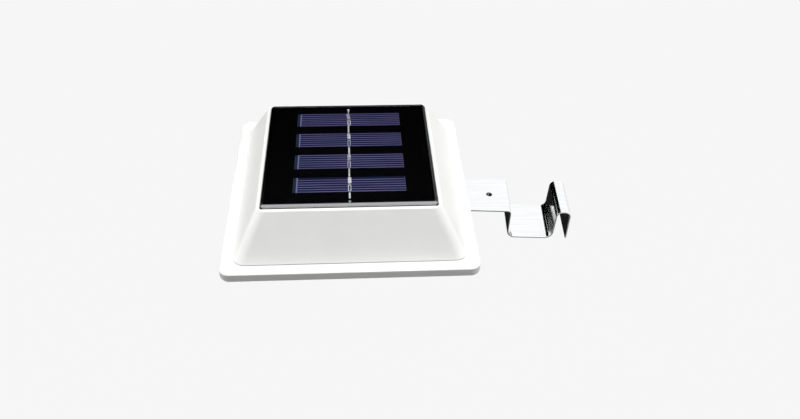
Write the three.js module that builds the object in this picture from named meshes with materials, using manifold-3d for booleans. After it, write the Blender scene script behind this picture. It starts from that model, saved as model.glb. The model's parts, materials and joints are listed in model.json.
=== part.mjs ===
// Solar fence energizer for poultry netting and small livestock pens.
// A white weatherproof case carries a solar panel on its sloping top. The battery door, terminals,
// power button and pulse lamp are on the underside, and a sprung steel clip under one edge hooks
// the case onto a rail.
// Millimetres. +Z is up, -Y is the front and +X is the clip side.
// The origin is the centre of the base plate's underside.
import * as THREE from "three";
import { mergeVertices } from "three/addons/utils/BufferGeometryUtils.js";
import Module from "manifold-3d";

const wasm = await Module();
wasm.setup();

// ---------------------------------------------------------------- driving dimensions
const GAP = 0.3; // running clearance
const CONTACT_GAP = 0.05; // between pieces that rest on each other
const BEYOND = 1; // how far a cutter runs past the face it opens

const BASE = { size: 120, height: 4.5, corner: 5, edge: 0.5 };
const SHELL = {
  bottom: BASE.height + GAP,
  top: 26.8,
  bottomHalf: 54.5,
  topHalf: 42.4,
  corner: 6,
  wall: 2.6, // measured level, so 2.2 square to the slope
  deck: 2,
};
const PANEL = { size: 80.8, top: 28.3, board: 1, corner: 0.8, edge: 1.1, seat: 25.3, glue: 0.3 };
const CELL = { count: 4, length: 52.8, depth: 10.8, height: 0.2, pitch: 17.6, x: 0.1, frontY: -24.5 };
const PANEL_LEADS = { y: 30, apart: 3.2, hole: 3.5, glueHole: 4 };
const RIBBON = { halfLength: 38, width: 0.8, padWidth: 1.7, padLength: 7.5, height: 0.15 };

const CASE_SCREW = { at: 44, shank: 1.3, head: 2.9, headHeight: 1.8, sunk: 0.5, tip: 10.5 };
const BOSS = { radius: 3.5, top: 16 };
const LABEL_FRAME = { x: -2, y: 7, width: 48, depth: 40, groove: 0.8, grooveDepth: 0.3 };
const CASE_RIB = { outer: 101, width: 1.2, height: 1.8 };
const GASKET = { outer: 108, width: 1.6, depth: 0.8, proud: 0.2 };

const BAY = { x: -6, y: -30, length: 56, width: 15.8, wall: 1.5, ceiling: 18.7, top: 20.2 };
const CELL_AA = { radius: 7.1, length: 49, nub: 1, nubRadius: 2.7, z: 11 };
const CONTACT = { thickness: 0.4, width: 11, bottom: 5, top: 17, tailAt: 4.6, tailReach: 4.2 };
const SPRING = { turns: 3, wire: 0.4, wide: 4.3, narrow: 2.4, length: 3.2 };
const DOOR = {
  length: 71,
  width: 25,
  thickness: 2,
  recess: 2.6,
  corner: 3,
  screwAt: 32.9,
  gripLength: 14,
  gripWidth: 0.9,
  gripTop: 0.6,
};
const doorUnderside = DOOR.recess - GAP - DOOR.thickness;
const DOOR_SCREW = { shank: 1.2, head: 2.5, headHeight: 1.1, tip: 8 };
const DOOR_SEAL = { margin: 1.5, width: 1.5, groove: 0.8 };

const BOARD = { x: -10, y: 7, width: 74, depth: 46, bottom: 9.5, thickness: 1.6, screwX: 33, screwY: 19 };
const BOARD_TOP = BOARD.bottom + BOARD.thickness;
const BOARD_SCREW = { shank: 1.1, head: 2.4, headHeight: 1.6, depth: 4.5 };

const TERMINAL = { apart: 36, y: 39, stud: 2.4, tip: -15.2, headTop: 8 };
const COLLAR = { neck: 3.9, rim: 6.2, rimHeight: 2.5 };
const WASHER = { outer: 5.6, thickness: 1 };
const KNOB = { radius: 6.4, flutes: 10, fluteRadius: 1.1, height: 9.6 };

const BUTTON = { x: -38, y: 8, radius: 5, proud: 1.5, slack: 0.4, flange: 6.4, flangeHeight: 0.8 };
const BUTTON_SEAL = { outer: 6.8, inner: 5.3, bottom: 3.3, top: 4.4, slack: 0.2 };
const SWITCH = { size: 8, bottom: 6.9, plunger: 1.6, plungerBottom: 5.8, plungerTop: 7.8 };
const LAMP = { x: -38, y: -5, window: 2.6, windowFlange: 4, windowTop: 5.4, radius: 1.5 };

const CLIP = {
  x: 40, // swivel axis
  turn: THREE.MathUtils.degToRad(-4), // rest position, clockwise from above
  width: 25.4,
  thickness: 0.8,
  top: -0.1,
  tail: 11, // tab behind the swivel axis
  tailCorner: 4,
  nearWall: 42.4, // middle of the trough's wall nearest the case
  farWallFoot: 65.7,
  farWallTop: 66.2,
  lip: 73,
  floor: -17.65, // trough floor's upper face
  lipTip: -17.8,
  tabBend: 1.7,
  floorBend: 4,
  humpBend: 3,
  hole: 1.6,
  holeAt: 32.2,
  neck: 2.2, // drawn down round the hole
  neckDepth: 2.2,
};
const SWIVEL = { hole: 2.3, stopAt: 14, stopRadius: 1.8, stopHeight: 1.3, reach: 15 };
const DISC = { radius: 10, top: 0.65, recess: 0.7 };
const CLIP_SCREW = { shank: 1.9, head: 4, headHeight: 2.4, tip: 8.8 };
const INSERT = { outer: 2.9, bottom: 1, top: 9.5, bossRadius: 5, bossTop: 10 };

const WIRE = 0.65; // radius of the insulated leads

// ---------------------------------------------------------------- finishes
const FINISHES = {
  whitePlastic: { color: 0xf3f4f3, roughness: 0.42, metalness: 0 },
  greyPlastic: { color: 0x8f9396, roughness: 0.55, metalness: 0 },
  blackPlastic: { color: 0x1b1c1e, roughness: 0.5, metalness: 0 },
  redPlastic: { color: 0xb3221c, roughness: 0.4, metalness: 0 },
  greenPlastic: { color: 0x1f6f38, roughness: 0.4, metalness: 0 },
  rubber: { color: 0x262729, roughness: 0.8, metalness: 0 },
  foam: { color: 0xd8d8d4, roughness: 0.9, metalness: 0 },
  panelBoard: { color: 0x060709, roughness: 0.35, metalness: 0 },
  solarCell: { color: 0x262a5c, roughness: 0.3, metalness: 0.2 },
  clearResin: { color: 0x0b0c10, roughness: 0.05, metalness: 0 },
  clearPlastic: { color: 0xe8eef0, roughness: 0.1, metalness: 0 },
  tinnedRibbon: { color: 0xc9cacb, roughness: 0.3, metalness: 1 },
  polishedSteel: { color: 0xdfe1e3, roughness: 0.12, metalness: 1 },
  platedSteel: { color: 0xb9bcc0, roughness: 0.35, metalness: 1 },
  brass: { color: 0xc6a457, roughness: 0.3, metalness: 1 },
  circuitBoard: { color: 0x1f6b3a, roughness: 0.5, metalness: 0 },
  ferrite: { color: 0x2a2a2c, roughness: 0.7, metalness: 0 },
  windingTape: { color: 0xd9b73a, roughness: 0.5, metalness: 0 },
  copperWire: { color: 0xa55a2a, roughness: 0.35, metalness: 1 },
  batterySleeve: { color: 0x2f7d4f, roughness: 0.35, metalness: 0 },
  lampLens: { color: 0xc22a22, roughness: 0.2, metalness: 0 },
};

// ---------------------------------------------------------------- solids and shapes
const FULL_TURN = 2 * Math.PI;
const QUARTER = Math.PI / 2;

// A closed three.js geometry as a manifold solid. A lathe's slivers at its axis are dropped.
function solidOf(geometry) {
  const loose = geometry.index ? geometry.toNonIndexed() : geometry;
  const bare = new THREE.BufferGeometry();
  bare.setAttribute("position", loose.getAttribute("position"));
  const merged = mergeVertices(bare, 1e-4);
  const corners = merged.index.array;
  const kept = [];
  for (let i = 0; i < corners.length; i += 3) {
    const [a, b, c] = corners.slice(i, i + 3);
    if (a !== b && b !== c && c !== a) kept.push(a, b, c);
  }
  const mesh = new wasm.Mesh({
    numProp: 3,
    vertProperties: merged.attributes.position.array,
    triVerts: new Uint32Array(kept),
  });
  return new wasm.Manifold(mesh);
}

const joined = (first, ...rest) => rest.reduce((all, one) => all.add(one), first);
const cut = (first, ...rest) => rest.reduce((left, one) => left.subtract(one), first);

function roundedRect(width, depth, radius, x = 0, y = 0) {
  const w = width / 2 - radius;
  const d = depth / 2 - radius;
  return new THREE.Shape()
    .absarc(x + w, y + d, radius, 0, QUARTER)
    .absarc(x - w, y + d, radius, QUARTER, 2 * QUARTER)
    .absarc(x - w, y - d, radius, 2 * QUARTER, 3 * QUARTER)
    .absarc(x + w, y - d, radius, 3 * QUARTER, 4 * QUARTER);
}

function slabGeometry(shape, bottom, top, curveSegments = 3) {
  const options = { depth: top - bottom, bevelEnabled: false, curveSegments };
  return new THREE.ExtrudeGeometry(shape, options).translate(0, 0, bottom);
}

const slab = (shape, bottom, top, curveSegments) =>
  solidOf(slabGeometry(shape, bottom, top, curveSegments));

// A slab whose top and bottom edges are rounded over by `edge`.
function softSlab(shape, bottom, top, edge) {
  const options = {
    depth: top - bottom - 2 * edge,
    bevelEnabled: true,
    bevelThickness: edge,
    bevelSize: edge,
    bevelOffset: -edge,
    bevelSegments: 2,
    curveSegments: 3,
  };
  return solidOf(new THREE.ExtrudeGeometry(shape, options).translate(0, 0, bottom + edge));
}

// A square slab that narrows evenly from one half width to another.
function taperedSlab(bottom, top, bottomHalf, topHalf, corner) {
  const shape = roundedRect(2 * bottomHalf, 2 * bottomHalf, corner);
  const geometry = slabGeometry(shape, bottom, top);
  const points = geometry.getAttribute("position");
  for (let i = 0; i < points.count; i += 1) {
    const rise = (points.getZ(i) - bottom) / (top - bottom);
    const scale = THREE.MathUtils.lerp(1, topHalf / bottomHalf, rise);
    points.setXY(i, points.getX(i) * scale, points.getY(i) * scale);
  }
  return solidOf(geometry);
}

function block(width, depth, bottom, top, x = 0, y = 0) {
  const geometry = new THREE.BoxGeometry(width, depth, top - bottom);
  return solidOf(geometry.translate(x, y, (bottom + top) / 2));
}

function drum(radius, bottom, top, x = 0, y = 0, sides = 20) {
  const geometry = new THREE.CylinderGeometry(radius, radius, top - bottom, sides);
  return solidOf(geometry.rotateX(QUARTER).translate(x, y, (bottom + top) / 2));
}

const ring = (outer, inner, bottom, top) =>
  cut(drum(outer, bottom, top), drum(inner, bottom - BEYOND, top + BEYOND));

// A square ring of rounded outline, `width` wide, whose outside measures `outer`.
function squareRing(outer, width, corner, bottom, top) {
  const outside = slab(roundedRect(outer, outer, corner), bottom, top);
  const within = outer - 2 * width;
  const inside = roundedRect(within, within, corner - width);
  return cut(outside, slab(inside, bottom - BEYOND, top + BEYOND));
}

// A turned piece: [radius, height] pairs from the bottom of the axis to its top.
function turned(profile, sides = 16) {
  const points = profile.map(([radius, height]) => new THREE.Vector2(radius, height));
  return solidOf(new THREE.LatheGeometry(points, sides).rotateX(QUARTER));
}

// A lead through a few points.
function lead(points) {
  const path = new THREE.CatmullRomCurve3(points.map((point) => new THREE.Vector3(...point)));
  const section = new THREE.Shape().absarc(0, 0, WIRE, 0, FULL_TURN);
  const options = { steps: 10, curveSegments: 3, bevelEnabled: false, extrudePath: path };
  return solidOf(new THREE.ExtrudeGeometry(section, options));
}

// A screw standing on its head: head below `seat`, shank up to `tip`, cross recess from below.
function screwUp({ shank, head, headHeight, tip }, seat) {
  const bottom = seat - headHeight;
  const body = turned([
    [0, bottom],
    [0.8 * head, bottom],
    [head, bottom + 0.35 * headHeight],
    [head, seat],
    [shank, seat],
    [shank, tip - shank],
    [0.35 * shank, tip],
    [0, tip],
  ], 12);
  const arm = 1.2 * head;
  const slot = 0.26 * head;
  const recessTop = bottom + 0.5 * headHeight;
  return cut(
    body,
    block(arm, slot, bottom - BEYOND, recessTop),
    block(slot, arm, bottom - BEYOND, recessTop),
  );
}

// ---------------------------------------------------------------- the tree
const energizer = new THREE.Group();
const caseGroup = new THREE.Group();
energizer.add(caseGroup);

function piece(parent, name, solid, finish, position = [0, 0, 0]) {
  const { vertProperties, triVerts } = solid.getMesh();
  const geometry = new THREE.BufferGeometry();
  geometry.setAttribute("position", new THREE.BufferAttribute(vertProperties, 3));
  geometry.setIndex(new THREE.BufferAttribute(triVerts, 1));
  geometry.computeVertexNormals();
  const mesh = new THREE.Mesh(geometry, new THREE.MeshStandardMaterial(FINISHES[finish]));
  mesh.name = name;
  mesh.position.set(...position);
  parent.add(mesh);
}

const CORNERS = [[-1, -1], [1, -1], [1, 1], [-1, 1]];

// ---------------------------------------------------------------- case
const slopePerMm = (SHELL.bottomHalf - SHELL.topHalf) / (SHELL.top - SHELL.bottom);
const outerHalf = (z) => SHELL.bottomHalf - slopePerMm * (z - SHELL.bottom);
const innerHalf = (z) => outerHalf(z) - SHELL.wall;

function shellBody() {
  const outside = taperedSlab(
    SHELL.bottom, SHELL.top, SHELL.bottomHalf, SHELL.topHalf, SHELL.corner,
  );
  const foot = SHELL.bottom - BEYOND;
  const ceiling = PANEL.seat - SHELL.deck;
  const inside = taperedSlab(
    foot, ceiling, innerHalf(foot), innerHalf(ceiling), SHELL.corner - 2,
  );
  const seatSize = PANEL.size + 2 * GAP;
  const panelSeat = slab(
    roundedRect(seatSize, seatSize, PANEL.corner), PANEL.seat, SHELL.top + BEYOND,
  );
  const leadHole = drum(
    PANEL_LEADS.hole, ceiling - BEYOND, PANEL.seat + BEYOND, 0, PANEL_LEADS.y,
  );
  const bosses = CORNERS.map(([sx, sy]) => {
    const x = sx * CASE_SCREW.at;
    const y = sy * CASE_SCREW.at;
    return drum(BOSS.radius, SHELL.bottom, BOSS.top, x, y, 16).intersect(outside);
  });
  const holes = CORNERS.map(([sx, sy]) => {
    const x = sx * CASE_SCREW.at;
    const y = sy * CASE_SCREW.at;
    return drum(CASE_SCREW.shank + GAP, 0, CASE_SCREW.tip + GAP, x, y, 12);
  });
  return cut(joined(cut(outside, inside), ...bosses), panelSeat, leadHole, ...holes);
}

function doorRecess() {
  const shape = roundedRect(DOOR.length + 2 * GAP, DOOR.width + 2 * GAP, DOOR.corner, BAY.x, BAY.y);
  return slab(shape, -BEYOND, DOOR.recess);
}

// The rectangular ring that the door seal fills, `slack` wider on every side.
function sealRing(bottom, top, slack) {
  const length = BAY.length + 2 * DOOR_SEAL.margin;
  const width = BAY.width + 2 * DOOR_SEAL.margin;
  const grow = 2 * DOOR_SEAL.width + 2 * slack;
  return cut(
    block(length + grow, width + grow, bottom, top, BAY.x, BAY.y),
    block(length - 2 * slack, width - 2 * slack, bottom - BEYOND, top + BEYOND, BAY.x, BAY.y),
  );
}

// The shallow groove that frames the flat label area under the base.
function labelFrame() {
  const { x, y, width, depth, groove, grooveDepth } = LABEL_FRAME;
  return cut(
    block(width, depth, -BEYOND, grooveDepth, x, y),
    block(width - 2 * groove, depth - 2 * groove, -2 * BEYOND, grooveDepth + BEYOND, x, y),
  );
}

function basePlate() {
  const plate = softSlab(
    roundedRect(BASE.size, BASE.size, BASE.corner), 0, BASE.height, BASE.edge,
  );
  const root = BASE.height - BASE.edge; // what stands on the plate starts inside it
  const rib = squareRing(
    CASE_RIB.outer, CASE_RIB.width, 4, root, BASE.height + CASE_RIB.height,
  );
  const standoffs = CORNERS.map(([sx, sy]) =>
    drum(3, root, BOARD.bottom, BOARD.x + sx * BOARD.screwX, BOARD.y + sy * BOARD.screwY, 16),
  );
  const doorBosses = [-1, 1].map((side) =>
    drum(3, root, DOOR_SCREW.tip + 1, BAY.x + side * DOOR.screwAt, BAY.y, 16),
  );
  const insertBoss = drum(INSERT.bossRadius, root, INSERT.bossTop, CLIP.x, 0);
  const stopPeg = drum(
    SWIVEL.stopRadius, -SWIVEL.stopHeight, BASE.edge, CLIP.x + SWIVEL.stopAt, 0, 16,
  );
  const body = joined(plate, rib, ...standoffs, ...doorBosses, insertBoss, stopPeg);

  const through = BASE.height + BEYOND;
  const groove = squareRing(
    GASKET.outer + 2 * GAP, GASKET.width + 2 * GAP, 5,
    BASE.height - GASKET.depth - GAP, through,
  );
  const caseHoles = CORNERS.flatMap(([sx, sy]) => {
    const x = sx * CASE_SCREW.at;
    const y = sy * CASE_SCREW.at;
    const seat = CASE_SCREW.sunk + CASE_SCREW.headHeight + GAP;
    return [
      drum(CASE_SCREW.shank + GAP, -BEYOND, through, x, y, 12),
      drum(CASE_SCREW.head + GAP, -BEYOND, seat, x, y, 20),
    ];
  });
  const boardHoles = CORNERS.map(([sx, sy]) => {
    const x = BOARD.x + sx * BOARD.screwX;
    const y = BOARD.y + sy * BOARD.screwY;
    const bottom = BOARD.bottom - BOARD_SCREW.depth;
    return drum(BOARD_SCREW.shank + GAP, bottom, BOARD.bottom + BEYOND, x, y, 12);
  });
  const doorHoles = [-1, 1].map((side) => {
    const x = BAY.x + side * DOOR.screwAt;
    return drum(DOOR_SCREW.shank + GAP, -BEYOND, DOOR_SCREW.tip + 2, x, BAY.y, 12);
  });
  const terminalHoles = [-1, 1].map((side) =>
    drum(COLLAR.neck + GAP, -BEYOND, through, (side * TERMINAL.apart) / 2, TERMINAL.y),
  );
  return cut(
    body,
    groove,
    ...caseHoles,
    ...boardHoles,
    ...doorHoles,
    ...terminalHoles,
    doorRecess(),
    labelFrame(),
    sealRing(0, DOOR.recess + DOOR_SEAL.groove, GAP),
    block(BAY.length, BAY.width, -BEYOND, through, BAY.x, BAY.y),
    drum(BUTTON.radius + BUTTON.slack, -BEYOND, through, BUTTON.x, BUTTON.y),
    drum(
      BUTTON_SEAL.outer + BUTTON_SEAL.slack, BUTTON_SEAL.bottom - 0.1, through,
      BUTTON.x, BUTTON.y,
    ),
    drum(LAMP.window + GAP, -BEYOND, through, LAMP.x, LAMP.y),
    drum(DISC.radius + GAP, -BEYOND, DISC.recess, CLIP.x, 0),
    drum(INSERT.outer + GAP, -BEYOND, INSERT.bossTop + BEYOND, CLIP.x, 0),
  );
}

piece(caseGroup, "top_shell", shellBody(), "whitePlastic");
piece(caseGroup, "base_plate", basePlate(), "whitePlastic");
piece(
  caseGroup,
  "base_gasket",
  squareRing(
    GASKET.outer, GASKET.width, 5, BASE.height - GASKET.depth, BASE.height + GASKET.proud,
  ),
  "rubber",
);
const caseScrew = screwUp(CASE_SCREW, CASE_SCREW.sunk + CASE_SCREW.headHeight);
CORNERS.forEach(([sx, sy], index) => {
  const position = [sx * CASE_SCREW.at, sy * CASE_SCREW.at, 0];
  piece(caseGroup, `housing_screw_${index + 1}`, caseScrew, "platedSteel", position);
});

// ---------------------------------------------------------------- solar panel
const boardBottom = PANEL.seat + PANEL.glue + 2 * CONTACT_GAP;
const boardTop = boardBottom + PANEL.board;
const cellBottom = boardTop + CONTACT_GAP;
const ribbonBottom = cellBottom + CELL.height + CONTACT_GAP;
const cellY = (index) => CELL.frontY + index * CELL.pitch;

const cellBlock = (slack) =>
  block(
    CELL.length + 2 * slack, CELL.depth + 2 * slack,
    -slack, CELL.height + slack, CELL.x, 0,
  );

// The ribbon that joins the cells: a narrow strip that widens to a pad on each cell.
function cellRibbon(slack) {
  const bottom = ribbonBottom - slack;
  const top = ribbonBottom + RIBBON.height + slack;
  const length = 2 * (RIBBON.halfLength + slack);
  const strip = block(RIBBON.width + 2 * slack, length, bottom, top);
  const pads = Array.from({ length: CELL.count }, (_, index) =>
    block(RIBBON.padWidth + 2 * slack, RIBBON.padLength + 2 * slack, bottom, top, 0, cellY(index)),
  );
  return joined(strip, ...pads);
}

// The cast resin top, its upper edge rounded over, hollowed where the cells and ribbon lie.
function resinTop() {
  const shape = roundedRect(PANEL.size, PANEL.size, PANEL.edge + 0.4);
  const rounded = softSlab(shape, boardTop - 2, PANEL.top, PANEL.edge);
  const below = block(PANEL.size + 2, PANEL.size + 2, boardTop - 3, cellBottom);
  const pockets = Array.from({ length: CELL.count }, (_, index) =>
    cellBlock(2 * CONTACT_GAP).translate([0, cellY(index), cellBottom]),
  );
  return cut(rounded, below, ...pockets, cellRibbon(CONTACT_GAP));
}

function panelGlue() {
  const side = PANEL.size - 8;
  const bottom = PANEL.seat + CONTACT_GAP;
  return cut(
    block(side, side, bottom, bottom + PANEL.glue),
    drum(PANEL_LEADS.glueHole, PANEL.seat - BEYOND, PANEL.seat + BEYOND, 0, PANEL_LEADS.y, 16),
  );
}

piece(caseGroup, "panel_adhesive", panelGlue(), "foam");
piece(
  caseGroup,
  "panel_board",
  slab(roundedRect(PANEL.size, PANEL.size, PANEL.corner), boardBottom, boardTop, 2),
  "panelBoard",
);
for (let index = 0; index < CELL.count; index += 1) {
  const position = [0, cellY(index), cellBottom];
  piece(caseGroup, `solar_cell_${index + 1}`, cellBlock(0), "solarCell", position);
}
piece(caseGroup, "cell_ribbon", cellRibbon(0), "tinnedRibbon");
piece(caseGroup, "panel_resin", resinTop(), "clearResin");
[["panel_lead_plus", 1], ["panel_lead_minus", -1]].forEach(([name, side]) => {
  const x = (side * PANEL_LEADS.apart) / 2;
  const path = [
    [x, PANEL_LEADS.y, PANEL.seat + 2 * CONTACT_GAP],
    [x, PANEL_LEADS.y, 20],
    [x - 4, PANEL_LEADS.y - 2, 15.5],
    [x - 5, PANEL_LEADS.y - 4, BOARD_TOP + WIRE + GAP],
  ];
  piece(caseGroup, name, lead(path), side > 0 ? "redPlastic" : "blackPlastic");
});

// ---------------------------------------------------------------- battery bay
const bayEnd = (side) => BAY.x + (side * BAY.length) / 2;

function batteryTray() {
  const outer = roundedRect(
    BAY.length + 2 * BAY.wall, BAY.width + 2 * BAY.wall, 1.5, BAY.x, BAY.y,
  );
  const bottom = BASE.height + GAP;
  const notchLength = BAY.length + 4 * BAY.wall;
  return cut(
    slab(outer, bottom, BAY.top, 2),
    block(BAY.length, BAY.width, bottom - BEYOND, BAY.ceiling, BAY.x, BAY.y),
    block(notchLength, 2, bottom - BEYOND, 8.6, BAY.x, BAY.y + CONTACT.tailAt),
  );
}

// A cell lying along X, its raised end towards +X.
function batteryCell() {
  const half = CELL_AA.length / 2;
  const upright = turned([
    [0, -half],
    [CELL_AA.radius - 0.5, -half],
    [CELL_AA.radius, 0.5 - half],
    [CELL_AA.radius, half - 0.7],
    [CELL_AA.radius - 0.7, half],
    [CELL_AA.nubRadius, half],
    [CELL_AA.nubRadius, half + CELL_AA.nub],
    [0, half + CELL_AA.nub],
  ]);
  return upright.rotate([0, 90, 0]);
}

// A contact plate with a solder tail that leaves the tray; `side` is the end of the bay.
function contactPlate(side) {
  const inner = bayEnd(side) - side * 0.6;
  const plate = block(
    CONTACT.thickness, CONTACT.width, CONTACT.bottom, CONTACT.top, inner, BAY.y,
  );
  const tail = block(
    CONTACT.tailReach, CONTACT.thickness, 5.4, 8,
    inner + (side * CONTACT.tailReach) / 2, BAY.y + CONTACT.tailAt,
  );
  return joined(plate, tail);
}

class ConicalSpring extends THREE.Curve {
  getPoint(t) {
    const radius = THREE.MathUtils.lerp(SPRING.wide, SPRING.narrow, t);
    const angle = t * SPRING.turns * FULL_TURN;
    return new THREE.Vector3(
      t * SPRING.length, radius * Math.cos(angle), radius * Math.sin(angle),
    );
  }
}

function springContact() {
  const section = new THREE.Shape().absarc(0, 0, SPRING.wire, 0, FULL_TURN);
  const options = {
    steps: 30, curveSegments: 2, bevelEnabled: false, extrudePath: new ConicalSpring(),
  };
  const coil = solidOf(new THREE.ExtrudeGeometry(section, options));
  const foot = bayEnd(-1) + 0.6 + CONTACT.thickness / 2 + 0.25;
  return joined(contactPlate(-1), coil.translate([foot, BAY.y, CELL_AA.z]));
}

function batteryDoor() {
  const plate = slab(
    roundedRect(DOOR.length, DOOR.width, DOOR.corner, BAY.x, BAY.y),
    doorUnderside, DOOR.recess - GAP,
  );
  const screwHoles = [-1, 1].flatMap((side) => {
    const x = BAY.x + side * DOOR.screwAt;
    const seat = doorUnderside + DOOR_SCREW.headHeight + 2 * CONTACT_GAP;
    return [
      drum(DOOR_SCREW.shank + GAP, -BEYOND, DOOR.recess + BEYOND, x, BAY.y, 12),
      drum(DOOR_SCREW.head + GAP, -BEYOND, seat, x, BAY.y, 20),
    ];
  });
  // shallow grip lines across the middle
  const gripLines = [-4, -2, 0, 2, 4].map((step) =>
    block(DOOR.gripLength, DOOR.gripWidth, -BEYOND, DOOR.gripTop, BAY.x, BAY.y + step),
  );
  return cut(plate, ...screwHoles, ...gripLines);
}

piece(caseGroup, "battery_tray", batteryTray(), "blackPlastic");
const cellMiddle = bayEnd(1) - 1.2 - CELL_AA.nub - CELL_AA.length / 2;
piece(
  caseGroup, "battery_cell", batteryCell(), "batterySleeve", [cellMiddle, BAY.y, CELL_AA.z],
);
piece(caseGroup, "battery_contact_plus", contactPlate(1), "platedSteel");
piece(caseGroup, "battery_contact_spring", springContact(), "platedSteel");
piece(caseGroup, "battery_door", batteryDoor(), "whitePlastic");
piece(
  caseGroup,
  "battery_door_seal",
  sealRing(DOOR.recess - GAP + CONTACT_GAP, DOOR.recess + DOOR_SEAL.groove - GAP, 0),
  "rubber",
);
const doorScrew = screwUp(DOOR_SCREW, doorUnderside + DOOR_SCREW.headHeight);
[-1, 1].forEach((side, index) => {
  const position = [BAY.x + side * DOOR.screwAt, BAY.y, 0];
  piece(caseGroup, `door_screw_${index + 1}`, doorScrew, "platedSteel", position);
});
[["battery_lead_plus", 1], ["battery_lead_minus", -1]].forEach(([name, side]) => {
  const tail = bayEnd(side) + side * (CONTACT.tailReach - 0.6 + GAP + WIRE);
  const path = [
    [tail, BAY.y + CONTACT.tailAt, 7],
    [tail, BAY.y + 8, 13],
    [tail - side * 2, -17.5, 15],
    [tail - side * 4, -13.5, BOARD_TOP + WIRE + GAP],
  ];
  piece(caseGroup, name, lead(path), side > 0 ? "redPlastic" : "blackPlastic");
});

// ---------------------------------------------------------------- circuit
function circuitBoard() {
  const shape = roundedRect(BOARD.width, BOARD.depth, 1.5, BOARD.x, BOARD.y);
  const holes = CORNERS.map(([sx, sy]) => {
    const x = BOARD.x + sx * BOARD.screwX;
    const y = BOARD.y + sy * BOARD.screwY;
    return drum(BOARD_SCREW.shank + GAP, 0, BOARD_TOP + BEYOND, x, y, 12);
  });
  return cut(slab(shape, BOARD.bottom, BOARD_TOP, 2), ...holes);
}

function boardScrew() {
  const { shank, head, headHeight, depth } = BOARD_SCREW;
  const tip = -(BOARD.thickness + depth - GAP);
  const body = turned([
    [0, tip],
    [0.35 * shank, tip],
    [shank, tip + shank],
    [shank, 0.05],
    [head, 0.05],
    [head, 0.6 * headHeight],
    [0.75 * head, headHeight],
    [0, headHeight],
  ], 12);
  return cut(
    body,
    block(1.2 * head, 0.6, 0.5 * headHeight, headHeight + BEYOND),
    block(0.6, 1.2 * head, 0.5 * headHeight, headHeight + BEYOND),
  );
}

// Two E halves closed round the winding, lying flat on the board.
const CORE = { width: 22, depth: 20, bottom: 2.2, top: 8.2, leg: 3, window: 5, windowDepth: 12 };
function transformerCore() {
  const windows = [-1, 1].map((side) =>
    block(
      CORE.window, CORE.windowDepth, CORE.bottom - BEYOND, CORE.top + BEYOND,
      side * (CORE.leg + CORE.window / 2), 0,
    ),
  );
  return cut(block(CORE.width, CORE.depth, CORE.bottom, CORE.top), ...windows);
}

function transformerWinding() {
  const flange = 0.8;
  const half = CORE.windowDepth / 2 - GAP;
  const legHole = block(
    2 * CORE.leg + 2 * GAP, CORE.windowDepth + 2, CORE.bottom - GAP, CORE.top + GAP,
  );
  const coil = block(14, 2 * half, 0.7, 9.2);
  const ends = [-1, 1].map((side) =>
    block(2 * (CORE.leg + CORE.window - GAP), flange, 0.3, 9.6, 0, side * (half - flange / 2)),
  );
  return cut(joined(coil, ...ends), legHole);
}

function electrolytic(radius, height) {
  return turned([
    [0, 0],
    [radius, 0],
    [radius, 0.9],
    [radius - 0.35, 1.3],
    [radius, 1.7],
    [radius, height - 0.4],
    [radius - 0.4, height],
    [0, height],
  ]);
}

function drumCoil(radius, height) {
  return turned([
    [0, 0],
    [radius, 0],
    [radius, 1],
    [radius - 0.7, 1.1],
    [radius - 0.7, height - 1.1],
    [radius, height - 1],
    [radius, height],
    [0, height],
  ]);
}

// A three-legged power device standing on the board.
function thyristor() {
  const body = block(10, 4.4, 2.4, 9.6);
  const legs = [-2.5, 0, 2.5].map((x) => block(0.8, 0.6, 0, 2.6, x, 0));
  return joined(body, ...legs);
}

function controlChip() {
  const body = block(8.6, 3.9, 0.2, 1.7);
  const legs = [-1, 1].flatMap((side) =>
    [-3, -1, 1, 3].map((x) => block(0.5, 1.2, 0, 0.8, x, side * 2.4)),
  );
  return joined(body, ...legs);
}

const onBoard = (x, y) => [x, y, BOARD_TOP + 2 * CONTACT_GAP];
piece(caseGroup, "circuit_board", circuitBoard(), "circuitBoard");
[[-1, -1], [1, 1]].forEach(([sx, sy], index) => {
  const x = BOARD.x + sx * BOARD.screwX;
  const y = BOARD.y + sy * BOARD.screwY;
  piece(caseGroup, `board_screw_${index + 1}`, boardScrew(), "platedSteel", [x, y, BOARD_TOP]);
});
piece(caseGroup, "transformer_core", transformerCore(), "ferrite", onBoard(10, 8));
piece(caseGroup, "transformer_winding", transformerWinding(), "windingTape", onBoard(10, 8));
piece(
  caseGroup,
  "storage_capacitor",
  slab(roundedRect(9, 26, 0.8), 0, 9.6, 2),
  "redPlastic",
  onBoard(-9, 5),
);
piece(caseGroup, "smoothing_capacitor", electrolytic(4, 9.5), "blackPlastic", onBoard(-21, 18));
piece(caseGroup, "boost_coil", drumCoil(4.2, 6.5), "ferrite", onBoard(-22, 5));
piece(caseGroup, "thyristor", thyristor(), "blackPlastic", onBoard(-34, 20));
piece(caseGroup, "control_chip", controlChip(), "blackPlastic", onBoard(-26, -8));

// ---------------------------------------------------------------- button and lamp
function buttonCap() {
  const underFlange = BASE.height + 0.2;
  return turned([
    [0, -BUTTON.proud],
    [BUTTON.radius - 0.6, -BUTTON.proud],
    [BUTTON.radius, 0.5 - BUTTON.proud],
    [BUTTON.radius, underFlange],
    [BUTTON.flange, underFlange],
    [BUTTON.flange, underFlange + BUTTON.flangeHeight],
    [0, underFlange + BUTTON.flangeHeight],
  ], 20);
}

function lampWindow() {
  return turned([
    [0, 0.2],
    [LAMP.window - 0.3, 0.2],
    [LAMP.window, 0.5],
    [LAMP.window, BASE.height + 0.1],
    [LAMP.windowFlange, BASE.height + 0.1],
    [LAMP.windowFlange, LAMP.windowTop],
    [0, LAMP.windowTop],
  ]);
}

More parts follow.
